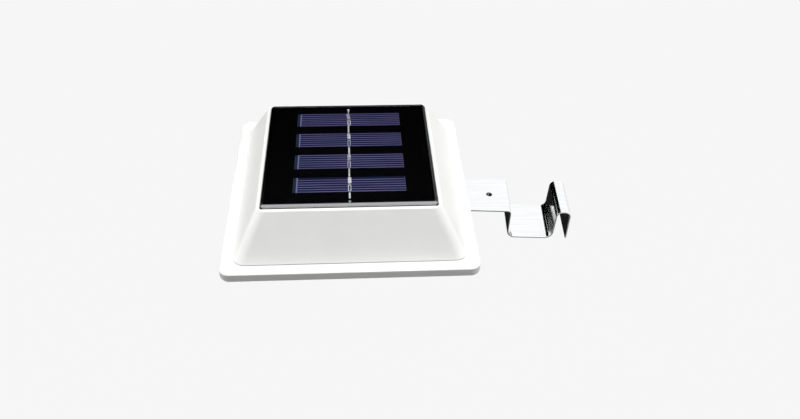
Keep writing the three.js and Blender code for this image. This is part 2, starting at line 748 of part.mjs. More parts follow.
// A lamp hanging from the board, its dome down.
function pulseLamp() {
  const tip = LAMP.windowTop + GAP;
  const foot = BOARD.bottom - CONTACT_GAP;
  return turned([
    [0, tip],
    [0.5 * LAMP.radius, tip + 0.2],
    [0.87 * LAMP.radius, tip + 0.75],
    [LAMP.radius, tip + 1.5],
    [LAMP.radius, foot - 0.85],
    [LAMP.radius + 0.4, foot - 0.85],
    [LAMP.radius + 0.4, foot],
    [0, foot],
  ]);
}

const buttonAt = [BUTTON.x, BUTTON.y, 0];
piece(caseGroup, "button_cap", buttonCap(), "blackPlastic", buttonAt);
piece(
  caseGroup,
  "button_seal",
  ring(BUTTON_SEAL.outer, BUTTON_SEAL.inner, BUTTON_SEAL.bottom, BUTTON_SEAL.top),
  "rubber",
  buttonAt,
);
piece(
  caseGroup,
  "switch_plunger",
  drum(SWITCH.plunger, SWITCH.plungerBottom, SWITCH.plungerTop, 0, 0, 16),
  "greyPlastic",
  buttonAt,
);
piece(
  caseGroup,
  "switch_body",
  cut(
    block(SWITCH.size, SWITCH.size, SWITCH.bottom, BOARD.bottom - CONTACT_GAP),
    drum(SWITCH.plunger + GAP, 0, BOARD.bottom - 0.4, 0, 0, 16),
  ),
  "blackPlastic",
  buttonAt,
);
piece(caseGroup, "lamp_window", lampWindow(), "clearPlastic", [LAMP.x, LAMP.y, 0]);
piece(caseGroup, "pulse_lamp", pulseLamp(), "lampLens", [LAMP.x, LAMP.y, 0]);

// ---------------------------------------------------------------- terminals
function terminalStud() {
  const head = new THREE.CylinderGeometry(4.4, 4.4, TERMINAL.headTop - BASE.height - GAP, 6);
  const headMiddle = (TERMINAL.headTop + BASE.height + GAP) / 2;
  const shank = turned([
    [0, TERMINAL.tip],
    [TERMINAL.stud - 0.6, TERMINAL.tip],
    [TERMINAL.stud, TERMINAL.tip + 0.6],
    [TERMINAL.stud, BASE.height + 1],
    [0, BASE.height + 1],
  ]);
  return joined(shank, solidOf(head.rotateX(QUARTER).translate(0, 0, headMiddle)));
}

function terminalCollar() {
  const body = turned([
    [0, -COLLAR.rimHeight],
    [COLLAR.rim - 0.4, -COLLAR.rimHeight],
    [COLLAR.rim, 0.4 - COLLAR.rimHeight],
    [COLLAR.rim, 0],
    [COLLAR.neck, 0],
    [COLLAR.neck, BASE.height],
    [0, BASE.height],
  ], 20);
  return cut(body, drum(TERMINAL.stud + GAP, -10, 10));
}

const washerTop = -COLLAR.rimHeight - GAP;
const knobTop = washerTop - WASHER.thickness - 2 * CONTACT_GAP;

function terminalKnob() {
  const bottom = knobTop - KNOB.height;
  const body = turned([
    [0, bottom],
    [KNOB.radius - 1.2, bottom],
    [KNOB.radius, bottom + 1.2],
    [KNOB.radius, knobTop - 2],
    [KNOB.radius - 1, knobTop - 1],
    [KNOB.radius - 1, knobTop],
    [0, knobTop],
  ], 20);
  const flutes = Array.from({ length: KNOB.flutes }, (_, index) => {
    const angle = (index / KNOB.flutes) * FULL_TURN;
    const reach = KNOB.radius + 0.35;
    const x = reach * Math.cos(angle);
    const y = reach * Math.sin(angle);
    return drum(KNOB.fluteRadius, bottom - BEYOND, knobTop - 2, x, y, 8);
  });
  return cut(body, drum(TERMINAL.stud + GAP, bottom - BEYOND, knobTop + BEYOND), ...flutes);
}

function terminal(name, side, colour) {
  const group = new THREE.Group();
  group.position.set((side * TERMINAL.apart) / 2, TERMINAL.y, 0);
  caseGroup.add(group);
  const washer = ring(
    WASHER.outer, TERMINAL.stud + GAP, washerTop - WASHER.thickness, washerTop,
  );
  const wire = lead([
    [0, 0, TERMINAL.headTop + GAP],
    [0, -3, 12.5],
    [-1.5 * side, -9, 14],
    [-3 * side, -12, BOARD_TOP + WIRE + GAP],
  ]);
  piece(group, `${name}_terminal_stud`, terminalStud(), "brass");
  piece(group, `${name}_terminal_collar`, terminalCollar(), "greyPlastic");
  piece(group, `${name}_terminal_washer`, washer, "platedSteel");
  piece(group, `${name}_terminal_knob`, terminalKnob(), colour);
  piece(group, `${name}_lead`, wire, colour);
}
terminal("live", -1, "redPlastic");
terminal("earth", 1, "greenPlastic");

// ---------------------------------------------------------------- mounting clip
// A strip outline of even thickness along a path of corners [along, height, bend radius].
function stripShape(corners, thickness) {
  const points = corners.map(([x, y]) => new THREE.Vector2(x, y));
  const bends = corners.slice(1, -1).map(([, , radius], i) => {
    const [from, at, to] = points.slice(i, i + 3);
    const incoming = at.clone().sub(from).normalize();
    const outgoing = to.clone().sub(at).normalize();
    const turn = Math.sign(incoming.cross(outgoing));
    const angle = Math.acos(incoming.dot(outgoing));
    const start = at.clone().addScaledVector(incoming, -radius * Math.tan(angle / 2));
    const side = new THREE.Vector2(-incoming.y, incoming.x).multiplyScalar(turn);
    const centre = start.clone().addScaledVector(side, radius);
    const first = Math.atan2(start.y - centre.y, start.x - centre.x);
    return { centre, radius, turn, first, last: first + turn * angle };
  });
  const half = thickness / 2;
  const square = (a, b) => {
    const along = b.clone().sub(a).normalize();
    return new THREE.Vector2(-along.y, along.x).multiplyScalar(half);
  };
  const startSide = square(points[0], points[1]);
  const endSide = square(points.at(-2), points.at(-1));
  const shape = new THREE.Shape();
  const begin = points[0].clone().add(startSide);
  shape.moveTo(begin.x, begin.y);
  bends.forEach(({ centre, radius, turn, first, last }) => {
    shape.absarc(centre.x, centre.y, radius - turn * half, first, last, turn < 0);
  });
  const leftEnd = points.at(-1).clone().add(endSide);
  const rightEnd = points.at(-1).clone().sub(endSide);
  shape.lineTo(leftEnd.x, leftEnd.y);
  shape.lineTo(rightEnd.x, rightEnd.y);
  [...bends].reverse().forEach(({ centre, radius, turn, first, last }) => {
    shape.absarc(centre.x, centre.y, radius + turn * half, last, first, turn > 0);
  });
  const back = points[0].clone().sub(startSide);
  shape.lineTo(back.x, back.y);
  return shape;
}

// The curved slot that the case's stop peg runs in.
function stopSlot() {
  const halfWidth = SWIVEL.stopRadius + GAP;
  const reach = THREE.MathUtils.degToRad(SWIVEL.reach);
  const middle = SWIVEL.stopAt;
  const end = (angle) => [middle * Math.cos(angle), middle * Math.sin(angle)];
  const shape = new THREE.Shape()
    .absarc(0, 0, middle + halfWidth, -reach, reach)
    .absarc(...end(reach), halfWidth, reach, reach + Math.PI)
    .absarc(0, 0, middle - halfWidth, reach, -reach, true)
    .absarc(...end(-reach), halfWidth, Math.PI - reach, FULL_TURN - reach);
  return slab(shape, CLIP.top - CLIP.thickness - BEYOND, CLIP.top + BEYOND, 4);
}

function mountingClip() {
  const middle = CLIP.top - CLIP.thickness / 2;
  const floor = CLIP.floor - CLIP.thickness / 2;
  const outline = stripShape(
    [
      [-CLIP.tail, middle],
      [CLIP.nearWall, middle, CLIP.tabBend],
      [CLIP.nearWall, floor, CLIP.floorBend],
      [CLIP.farWallFoot, floor, CLIP.floorBend],
      [CLIP.farWallTop, middle, CLIP.humpBend],
      [CLIP.lip, middle, CLIP.humpBend],
      [CLIP.lip, CLIP.lipTip],
    ],
    CLIP.thickness,
  );
  const options = { depth: CLIP.width, bevelEnabled: false, curveSegments: 4 };
  const strip = new THREE.ExtrudeGeometry(outline, options);
  strip.rotateX(QUARTER).translate(0, CLIP.width / 2, 0);
  // the tab's rear corners are rounded off
  const span = CLIP.tail + CLIP.lip + CLIP.tailCorner + CLIP.thickness;
  const plan = roundedRect(span, CLIP.width, CLIP.tailCorner, span / 2 - CLIP.tail, 0);
  const neckEnd = CLIP.top - CLIP.thickness - CLIP.neckDepth;
  return cut(
    solidOf(strip)
      .intersect(slab(plan, CLIP.lipTip - 3, CLIP.top + BEYOND, 4))
      .add(drum(CLIP.neck, neckEnd, middle, CLIP.holeAt, 0, 20)),
    drum(SWIVEL.hole, CLIP.top - 2, BEYOND),
    drum(CLIP.hole, neckEnd - BEYOND, BEYOND, CLIP.holeAt, 0, 20),
    stopSlot(),
  );
}

const clipGroup = new THREE.Group();
clipGroup.position.set(CLIP.x, 0, 0);
clipGroup.rotation.z = CLIP.turn;
energizer.add(clipGroup);
piece(clipGroup, "mounting_clip", mountingClip(), "polishedSteel");

const clipScrewSeat = CLIP.top - CLIP.thickness - 2 * CONTACT_GAP;
const clipAxis = [CLIP.x, 0, 0];
piece(caseGroup, "clip_screw", screwUp(CLIP_SCREW, clipScrewSeat), "platedSteel", clipAxis);
piece(
  caseGroup,
  "clip_insert",
  ring(INSERT.outer, CLIP_SCREW.shank + GAP, INSERT.bottom, INSERT.top),
  "brass",
  clipAxis,
);
piece(
  caseGroup,
  "clip_friction_disc",
  ring(DISC.radius, INSERT.outer, CLIP.top + CONTACT_GAP, DISC.top),
  "rubber",
  clipAxis,
);

export default energizer;
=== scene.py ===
# Solar fence energizer: its looks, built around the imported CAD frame.
# Metres, +Z up, -Y the front, +X the side that the mounting clip leaves from.
import json
import math

import bmesh
import bpy
from mathutils import Matrix, Vector


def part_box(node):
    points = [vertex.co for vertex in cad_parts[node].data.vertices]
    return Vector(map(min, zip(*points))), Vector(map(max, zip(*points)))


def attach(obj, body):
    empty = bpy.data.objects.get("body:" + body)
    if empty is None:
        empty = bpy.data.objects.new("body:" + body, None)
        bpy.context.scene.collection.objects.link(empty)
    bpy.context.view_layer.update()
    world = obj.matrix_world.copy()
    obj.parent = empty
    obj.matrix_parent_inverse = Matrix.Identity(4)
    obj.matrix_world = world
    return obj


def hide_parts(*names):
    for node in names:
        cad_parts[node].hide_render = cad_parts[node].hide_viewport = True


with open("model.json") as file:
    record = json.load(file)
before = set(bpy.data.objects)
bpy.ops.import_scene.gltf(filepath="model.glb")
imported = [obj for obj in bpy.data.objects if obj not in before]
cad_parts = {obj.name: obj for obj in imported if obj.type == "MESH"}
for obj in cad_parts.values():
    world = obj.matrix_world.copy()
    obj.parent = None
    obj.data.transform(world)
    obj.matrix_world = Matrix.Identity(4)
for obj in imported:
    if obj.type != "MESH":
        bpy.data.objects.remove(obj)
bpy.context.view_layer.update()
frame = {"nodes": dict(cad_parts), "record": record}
nodes = frame["nodes"]

MM = 0.001
SLACK = 0.3 * MM  # running clearance, as in the CAD
CONTACT = 0.05 * MM  # between pieces that rest on each other


# ---------------------------------------------------------------- camera
CAMERA_AT = (0.002499, -0.301725, 0.256037)
CAMERA_LENS = 34.393
CAMERA_DOWN = math.radians(41.449)
CAMERA_YAW = math.radians(-4.47)
CAMERA_ROLL = math.radians(1.717)


def add_camera():
    forward = Vector((
        -math.sin(CAMERA_YAW) * math.cos(CAMERA_DOWN),
        math.cos(CAMERA_YAW) * math.cos(CAMERA_DOWN),
        -math.sin(CAMERA_DOWN),
    ))
    level_right = Vector((math.cos(CAMERA_YAW), math.sin(CAMERA_YAW), 0))
    level_up = level_right.cross(forward)
    cos_roll, sin_roll = math.cos(CAMERA_ROLL), math.sin(CAMERA_ROLL)
    right = cos_roll * level_right + sin_roll * level_up
    up = cos_roll * level_up - sin_roll * level_right
    data = bpy.data.cameras.new("camera")
    data.sensor_width = 36
    data.lens = CAMERA_LENS
    data.clip_start = 0.01
    camera = bpy.data.objects.new("camera", data)
    turn = Matrix((right, up, -forward)).transposed().to_4x4()
    camera.matrix_world = Matrix.Translation(CAMERA_AT) @ turn
    bpy.context.scene.collection.objects.link(camera)
    bpy.context.scene.camera = camera


add_camera()


# ---------------------------------------------------------------- materials
class Look:
    """A material with one Principled shader, and short calls for its node tree."""

    def __init__(self, name, **values):
        self.material = bpy.data.materials.new(name)
        self.material.use_nodes = True
        self.tree = self.material.node_tree
        self.shader = self.tree.nodes["Principled BSDF"]
        for socket, value in values.items():
            self.shader.inputs[socket.replace("_", " ")].default_value = value
        self.place = self.node("ShaderNodeTexCoord").outputs["Object"]

    def node(self, kind, **settings):
        made = self.tree.nodes.new(kind)
        for key, value in settings.items():
            setattr(made, key, value)
        return made

    def feed(self, socket, value):
        if isinstance(value, bpy.types.NodeSocket):
            self.tree.links.new(value, socket)
        else:
            socket.default_value = value

    def math(self, operation, *values):
        made = self.node("ShaderNodeMath", operation=operation)
        for socket, value in zip(made.inputs, values):
            self.feed(socket, value)
        return made.outputs[0]

    def axes(self, place=None):
        made = self.node("ShaderNodeSeparateXYZ")
        self.feed(made.inputs[0], place or self.place)
        return made.outputs

    def stretched(self, stretch):
        made = self.node("ShaderNodeVectorMath", operation="MULTIPLY")
        self.feed(made.inputs[0], self.place)
        made.inputs[1].default_value = stretch
        return made.outputs[0]

    def noise(self, size, detail=2.0, stretch=(1, 1, 1), rough=0.5):
        """Noise from 0 to 1 whose lumps are about `size` metres across."""
        made = self.node("ShaderNodeTexNoise")
        self.feed(made.inputs["Vector"], self.stretched(stretch))
        made.inputs["Scale"].default_value = 1 / size
        made.inputs["Detail"].default_value = detail
        made.inputs["Roughness"].default_value = rough
        return made.outputs["Fac"]

    def spots(self, size):
        """Distance from scattered points about `size` metres apart, from 0 to about 1."""
        made = self.node("ShaderNodeTexVoronoi")
        self.feed(made.inputs["Vector"], self.place)
        made.inputs["Scale"].default_value = 1 / size
        return made.outputs["Distance"]

    def spread(self, factor, low, high, start=0.0, end=1.0):
        """factor from start to end becomes low to high, held at both ends."""
        made = self.node("ShaderNodeMapRange", clamp=True)
        for socket, value in zip(made.inputs, (factor, start, end, low, high)):
            self.feed(socket, value)
        return made.outputs[0]

    def blend(self, factor, first, second):
        made = self.node("ShaderNodeMix", data_type="RGBA", clamp_factor=True)
        self.feed(made.inputs["Factor"], factor)
        self.feed(made.inputs[6], first)
        self.feed(made.inputs[7], second)
        return made.outputs[2]

    def colour(self, value):
        self.feed(self.shader.inputs["Base Color"], value)
        return self

    def rough(self, value):
        self.feed(self.shader.inputs["Roughness"], value)
        return self

    def bump(self, height, depth, strength=1.0):
        """Raises the surface by `height` (0 to 1) times `depth` metres, over any bump already there."""
        made = self.node("ShaderNodeBump")
        made.inputs["Strength"].default_value = strength
        made.inputs["Distance"].default_value = depth
        self.feed(made.inputs["Height"], height)
        normal = self.shader.inputs["Normal"]
        if normal.is_linked:
            self.feed(made.inputs["Normal"], normal.links[0].from_socket)
        self.feed(normal, made.outputs[0])
        return self


def rgb(red, green, blue):
    return (red, green, blue, 1.0)


def shade(colour, amount):
    return rgb(*(min(1.0, channel * amount) for channel in colour[:3]))


def moulded(name, colour, roughness=0.42, grain=0.35 * MM, depth=0.006 * MM, **values):
    """Injection-moulded plastic: fine spark texture, faint flow marks and uneven gloss."""
    look = Look(name, **values)
    flow = look.noise(22 * MM, detail=3, stretch=(1, 0.45, 1))
    cloud = look.blend(look.spread(flow, 0, 1, 0.3, 0.7), shade(colour, 0.975), shade(colour, 1.02))
    specks = look.spread(look.noise(0.6 * MM, detail=1), 0, 0.35, 0.66, 0.8)
    look.colour(look.blend(specks, cloud, shade(colour, 0.93)))
    look.rough(look.spread(look.noise(4 * MM, detail=4), roughness - 0.05, roughness + 0.07, 0.3, 0.7))
    look.bump(look.noise(grain, detail=3, rough=0.6), depth)
    look.bump(look.noise(9 * MM, detail=1), 0.02 * MM, 0.4)
    return look.material


def metal(name, colour, roughness, grain, stretch=(1, 1, 1), depth=0.004 * MM, even=1.0):
    """Bare or plated metal with fine streaks and uneven polish, fainter as `even` falls."""
    look = Look(name, Metallic=1.0)
    streaks = look.noise(grain, detail=4, stretch=stretch)
    stains = look.noise(12 * MM, detail=3)
    streaked = look.spread(streaks, 0, 1, 0.35, 0.65)
    tone = look.blend(streaked, shade(colour, 1 - 0.07 * even), shade(colour, 1.05))
    stained = look.spread(stains, 0, 0.3 * even, 0.5, 0.75)
    look.colour(look.blend(stained, tone, shade(colour, 0.86)))
    look.rough(look.spread(streaks, roughness * 0.75, roughness * 1.35, 0.3, 0.7))
    look.bump(streaks, depth)
    return look.material


def rubber(name, colour):
    look = Look(name, Specular_IOR_Level=0.3)
    dust = look.noise(2.5 * MM, detail=5)
    look.colour(look.blend(look.spread(dust, 0, 0.6, 0.5, 0.8), colour, shade(colour, 2.2)))
    look.rough(look.spread(dust, 0.72, 0.9))
    look.bump(look.noise(0.18 * MM, detail=2), 0.01 * MM)
    return look.material


def foam(name, colour):
    look = Look(name, Roughness=0.95, Specular_IOR_Level=0.1)
    cells = look.spots(0.45 * MM)
    # the dimples at the foam's cell centres are drawn darker: painted shade in the pits
    look.colour(look.blend(look.spread(cells, 0, 1, 0.1, 0.6), shade(colour, 0.7), colour))
    look.bump(cells, 0.08 * MM)
    return look.material


def board_laminate():
    """Black solder mask over a glass weave, that only a glancing light shows."""
    look = Look("panel_laminate", Specular_IOR_Level=0.05)
    x, y, _ = look.axes()
    weave = look.math(
        "MULTIPLY",
        look.math("SINE", look.math("MULTIPLY", x, 2 * math.pi / (0.9 * MM))),
        look.math("SINE", look.math("MULTIPLY", y, 2 * math.pi / (0.9 * MM))),
    )
    cloud = look.noise(15 * MM, detail=2)
    look.colour(look.blend(cloud, rgb(0.0002, 0.0002, 0.0003), rgb(0.0005, 0.0005, 0.0007)))
    look.rough(look.spread(weave, 0.38, 0.5, -1, 1))
    look.bump(weave, 0.003 * MM)
    return look.material


# the printed front of a cell
GRID_PITCH = 1.7 * MM
GRID_FIRST = 0.35 * MM  # from the near edge to the first line
GRID_HALF = 0.24 * MM
BUS_FROM_END = 1.75 * MM
BUS_HALF = 0.3 * MM
BARE_STRIP = 1.1 * MM  # the front cell's far edge carries no line
FRONT_CELL_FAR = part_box("solar_cell_1")[1].y
CELL_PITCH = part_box("solar_cell_2")[0].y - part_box("solar_cell_1")[0].y


def silicon():
    """Blue violet silicon with a printed grid: fine lines along it and a bus bar near its left end."""
    look = Look("cell_silicon", Specular_IOR_Level=0.25, Roughness=0.45)
    x, y, _ = look.axes()
    low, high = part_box("solar_cell_1")
    clouds = look.noise(6 * MM, detail=3, stretch=(0.5, 1.6, 1))
    fine = look.noise(1.6 * MM, detail=2, stretch=(0.5, 1, 1))
    violet = look.blend(
        look.spread(clouds, 0, 1, 0.36, 0.64), rgb(0.003, 0.006, 0.028), rgb(0.005, 0.002, 0.032),
    )
    body = look.blend(look.spread(fine, 0, 0.45, 0.45, 0.7), violet, rgb(0.008, 0.012, 0.030))
    # distance from the cell's near edge, the same for all four
    from_near = look.math("MODULO", look.math("ADD", y, 4 * CELL_PITCH - low.y), CELL_PITCH)
    waver = look.spread(look.noise(6 * MM, detail=1, stretch=(1, 0.2, 1)), -0.02, 0.02)
    turns = look.math("DIVIDE", look.math("SUBTRACT", from_near, GRID_FIRST), GRID_PITCH)
    turns = look.math("ADD", turns, waver)
    part_turn = look.math("FRACT", look.math("ADD", turns, 0.5))
    off_line = look.math("ABSOLUTE", look.math("SUBTRACT", part_turn, 0.5))
    half = GRID_HALF / GRID_PITCH
    line = look.spread(off_line, 1, 0, half * 0.7, half * 1.3)
    strength = look.spread(look.noise(8 * MM, detail=2, stretch=(0.3, 2, 1)), 0.62, 1.0, 0.3, 0.7)
    line = look.math("MULTIPLY", line, strength)
    right_of_bus = look.spread(x, 0, 1, low.x + BUS_FROM_END - 0.1 * MM, low.x + BUS_FROM_END)
    line = look.math("MULTIPLY", line, right_of_bus)
    # the front cell's far strip is bare
    bare = look.math(
        "MULTIPLY",
        look.spread(y, 0, 1, FRONT_CELL_FAR - BARE_STRIP, FRONT_CELL_FAR - BARE_STRIP * 0.9),
        look.spread(y, 1, 0, FRONT_CELL_FAR + 0.5 * MM, FRONT_CELL_FAR + 0.6 * MM),
    )
    line = look.math("MULTIPLY", line, look.math("SUBTRACT", 1.0, bare))
    ink = look.blend(look.spread(clouds, 0, 1, 0.3, 0.7), rgb(0.17, 0.19, 0.37), rgb(0.235, 0.185, 0.37))
    body = look.blend(line, body, ink)
    dark_end = look.spread(x, 1, 0, low.x, low.x + 0.4 * MM)
    slate = look.blend(dark_end, rgb(0.013, 0.019, 0.036), rgb(0.04, 0.05, 0.075))
    body = look.blend(right_of_bus, slate, body)
    from_bus = look.math("ABSOLUTE", look.math("SUBTRACT", x, low.x + BUS_FROM_END))
    bus = look.spread(from_bus, 1, 0, BUS_HALF * 0.8, BUS_HALF * 1.2)
    body = look.blend(bus, body, rgb(0.20, 0.22, 0.40))
    edge = look.spread(x, 0, 0.6, high.x - 0.5 * MM, high.x - 0.3 * MM)
    body = look.blend(edge, body, rgb(0.08, 0.085, 0.13))
    look.colour(body)
    look.bump(line, 0.01 * MM)
    return look.material


def clear_top(name, gloss_ior, tint):
    """Clear cast resin or lens: what is behind it shows, under a mirror gloss."""
    look = Look(name, Roughness=0.03, Specular_IOR_Level=0.5)
    tree = look.tree
    gloss = look.node("ShaderNodeBsdfGlossy")
    gloss.inputs["Color"].default_value = rgb(1, 1, 1)
    ripple = look.node("ShaderNodeBump")
    ripple.inputs["Distance"].default_value = 0.015 * MM
    ripple.inputs["Strength"].default_value = 0.5
    look.feed(ripple.inputs["Height"], look.noise(14 * MM, detail=1))
    look.feed(gloss.inputs["Normal"], ripple.outputs[0])
    look.feed(gloss.inputs["Roughness"], look.spread(look.noise(6 * MM, detail=4), 0.02, 0.06))
    through = look.node("ShaderNodeBsdfTransparent")
    through.inputs["Color"].default_value = tint
    fresnel = look.node("ShaderNodeFresnel")
    fresnel.inputs["IOR"].default_value = gloss_ior
    mix = look.node("ShaderNodeMixShader")
    look.feed(mix.inputs[0], fresnel.outputs[0])
    look.feed(mix.inputs[1], through.outputs[0])
    look.feed(mix.inputs[2], gloss.outputs[0])
    tree.nodes.remove(look.shader)
    look.feed(tree.nodes["Material Output"].inputs["Surface"], mix.outputs[0])
    return look.material


def cast_rim():
    """The rounded edge of the cast resin: smoky, and mirroring most along the front, where a painted
    highlight makes the front-facing part far glossier than the other sides.
    """
    look = Look("resin_rim", Roughness=0.5)
    gloss = look.node("ShaderNodeBsdfGlossy")
    gloss.inputs["Color"].default_value = rgb(0.97, 0.97, 1.0)
    look.feed(gloss.inputs["Roughness"], look.spread(look.noise(3 * MM, detail=2), 0.2, 0.26))
    through = look.node("ShaderNodeBsdfTransparent")
    through.inputs["Color"].default_value = rgb(0.12, 0.12, 0.14)
    facing = look.axes(look.node("ShaderNodeTexCoord").outputs["Normal"])[1]
    # painted highlight: the gloss share rises from 0.05 to 0.42 as the normal turns to the front
    front_painted_highlight = look.spread(facing, 0.05, 0.42, -0.12, -0.4)
    cloud = look.spread(look.noise(8 * MM, detail=1), 0.94, 1.06)
    mix = look.node("ShaderNodeMixShader")
    look.feed(mix.inputs[0], look.math("MULTIPLY", front_painted_highlight, cloud))
    look.feed(mix.inputs[1], through.outputs[0])
    look.feed(mix.inputs[2], gloss.outputs[0])
    look.tree.nodes.remove(look.shader)
    look.feed(look.tree.nodes["Material Output"].inputs["Surface"], mix.outputs[0])
    return look.material


def clear_under(name, tint):
    """The underside of a clear casting, wetted to what it covers, so it mirrors nothing."""
    look = Look(name)
    through = look.node("ShaderNodeBsdfTransparent")
    haze = look.blend(look.spread(look.noise(5 * MM), 0, 0.2), tint, shade(tint, 0.9))
    look.feed(through.inputs["Color"], haze)
    look.tree.nodes.remove(look.shader)
    look.feed(look.tree.nodes["Material Output"].inputs["Surface"], through.outputs[0])
    return look.material


def solder_mask():
    """Green board with a fine weave and faint copper tracks under the mask."""
    look = Look("green_board", Roughness=0.35)
    tracks = look.spread(look.noise(2.4 * MM, detail=0, stretch=(1, 3, 1)), 0, 1, 0.49, 0.52)
    green = look.blend(tracks, rgb(0.012, 0.10, 0.035), rgb(0.03, 0.17, 0.06))
    look.colour(green)
    look.bump(tracks, 0.02 * MM)
    look.bump(look.noise(0.4 * MM), 0.006 * MM)
    return look.material


def wound_tape(name, colour):
    """Layers of tape round a winding, with their edges as fine lines."""
    look = Look(name, Roughness=0.4)
    _, _, z = look.axes()
    layers = look.math("SINE", look.math("MULTIPLY", z, 2 * math.pi / (0.9 * MM)))
    look.colour(look.blend(look.spread(layers, 0, 1, 0.7, 1), colour, shade(colour, 0.6)))
    look.bump(layers, 0.03 * MM)
    look.bump(look.noise(1.2 * MM), 0.01 * MM)
    return look.material


def solder():
    """Tinned ribbon: dull, uneven solder with brighter patches."""
    look = Look("tinned_ribbon", Metallic=0.12)
    patches = look.noise(3.2 * MM, detail=3, stretch=(1, 0.5, 1))
    fine = look.noise(0.6 * MM, detail=3)
    warm = look.blend(look.spread(patches, 0, 1, 0.38, 0.6), rgb(0.40, 0.42, 0.48), rgb(0.95, 0.92, 0.84))
    look.colour(look.blend(look.spread(fine, 0, 0.6, 0.52, 0.72), warm, rgb(0.22, 0.22, 0.23)))
    look.rough(look.spread(fine, 0.35, 0.6))
    look.bump(fine, 0.03 * MM)
    return look.material


def sleeve(name, colour, band):
    """Shrink sleeve of a cell with one lighter band at its raised end."""
    look = Look(name, Roughness=0.3)
    x, _, _ = look.axes()
    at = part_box("battery_cell")[1].x - 12 * MM
    banded = look.spread(x, 0, 1, at - 0.05 * MM, at + 0.05 * MM)
    wrinkles = look.noise(2.5 * MM, detail=3, stretch=(0.3, 1, 1))
    tone = look.blend(look.spread(wrinkles, 0, 0.4), colour, shade(colour, 0.8))
    look.colour(look.blend(banded, tone, band))
    look.bump(wrinkles, 0.04 * MM)
    return look.material


LOOKS = {
    "white_plastic": moulded("white_casing", rgb(0.84, 0.845, 0.83), 0.4),
    "grey_plastic": moulded("grey_plastic", rgb(0.28, 0.30, 0.31), 0.5),
    "black_plastic": moulded("black_plastic", rgb(0.018, 0.018, 0.02), 0.45),
    "red_plastic": moulded("red_plastic", rgb(0.50, 0.022, 0.015), 0.35),
    "green_plastic": moulded("green_plastic", rgb(0.015, 0.19, 0.05), 0.35),
    "rubber_seal": rubber("black_rubber", rgb(0.016, 0.016, 0.017)),
    "foam_tape": foam("white_foam", rgb(0.72, 0.72, 0.69)),
    "panel_board": board_laminate(),
    "solar_cell": silicon(),
    "clear_resin": clear_top("clear_resin", 1.45, rgb(0.97, 0.98, 1.0)),
    "clear_plastic": clear_top("clear_lens", 1.5, rgb(0.93, 0.95, 0.97)),
    "tinned_ribbon": solder(),
    "polished_steel": metal(
        "polished_steel", rgb(0.90, 0.91, 0.92), 0.13, 1.2 * MM, (0.05, 1, 0.05), even=0.4,
    ),
    "plated_steel": metal("zinc_plate", rgb(0.60, 0.61, 0.62), 0.3, 0.8 * MM),
    "brass": metal("turned_brass", rgb(0.72, 0.50, 0.20), 0.25, 0.5 * MM, (0.2, 0.2, 2)),
    "circuit_board": solder_mask(),
    "ferrite": moulded("ferrite", rgb(0.03, 0.03, 0.032), 0.6, 0.3 * MM, 0.02 * MM),
    "winding_tape": wound_tape("winding_tape", rgb(0.75, 0.47, 0.05)),
    "capacitor_case": moulded("capacitor_case", rgb(0.48, 0.10, 0.02), 0.3),
    "battery_sleeve": sleeve("cell_sleeve", rgb(0.02, 0.22, 0.08), rgb(0.75, 0.76, 0.74)),
    "lamp_lens": moulded("lamp_dome", rgb(0.6, 0.03, 0.02), 0.12, Coat_Weight=0.5),
}
RESIN_RIM = cast_rim()
UNDER_RESIN = clear_under("resin_under", rgb(0.97, 0.98, 1.0))

for part in frame["record"]["subparts"]:
    node = nodes[part["node"]]
    node.data.materials.clear()
    node.data.materials.append(LOOKS[part["material_slot"]])


# ---------------------------------------------------------------- mesh building
def circle(radius, z, centre=(0, 0), sides=48):
    turn = 2 * math.pi / sides
    return [
        (centre[0] + radius * math.cos(i * turn), centre[1] + radius * math.sin(i * turn), z)
        for i in range(sides)
    ]


def rounded_rect(half_x, half_y, radius, z, centre=(0, 0), steps=10):
    points = []
    for quarter, (sx, sy) in enumerate(((1, 1), (-1, 1), (-1, -1), (1, -1))):
        for step in range(steps + 1):
            angle = math.radians(90 * (quarter + step / steps))
            points.append((
                centre[0] + sx * (half_x - radius) + radius * math.cos(angle),
                centre[1] + sy * (half_y - radius) + radius * math.sin(angle),
                z,
            ))
    return points


def loft(bm, rings, slots=None):
    """Adds a closed body through rings of equal length. slots gives a material slot for each band."""
    loops = [[bm.verts.new(point) for point in ring] for ring in rings]
    made = []
    for band, (low, high) in enumerate(zip(loops, loops[1:])):
        for i in range(len(low)):
            j = (i + 1) % len(low)
            face = bm.faces.new((low[i], low[j], high[j], high[i]))
            face.material_index = slots[band] if slots else 0
            made.append(face)
    made.append(bm.faces.new(list(reversed(loops[0]))))
    made.append(bm.faces.new(loops[-1]))
    if slots:
        made[-2].material_index = slots[0]
        made[-1].material_index = slots[-1]
    bmesh.ops.recalc_face_normals(bm, faces=made)


def body_of(*bodies):
    """A bmesh of one or more closed bodies, each a list of rings."""
    bm = bmesh.new()
    for rings in bodies:
        loft(bm, rings)
    return bm


def as_object(name, bm, *materials):
    mesh = bpy.data.meshes.new(name)
    bm.to_mesh(mesh)
    bm.free()
    for material in materials:
        mesh.materials.append(material)
    made = bpy.data.objects.new(name, mesh)
    bpy.context.scene.collection.objects.link(made)
    return made


def bake(obj):
    """Makes the modifiers part of the mesh."""
    depsgraph = bpy.context.evaluated_depsgraph_get()
    mesh = bpy.data.meshes.new_from_object(obj.evaluated_get(depsgraph))
    obj.modifiers.clear()
    obj.data = mesh


def combine(obj, operation, bm):
    """Joins bm to the object, cuts it away, or keeps only what both hold."""
    tool = as_object("tool", bm)
    change = obj.modifiers.new(operation, "BOOLEAN")
    change.operation = operation
    change.solver = "EXACT"
    change.use_self = operation != "INTERSECT"
    change.object = tool
    bpy.context.view_layer.update()
    bake(obj)
    bpy.data.objects.remove(tool)


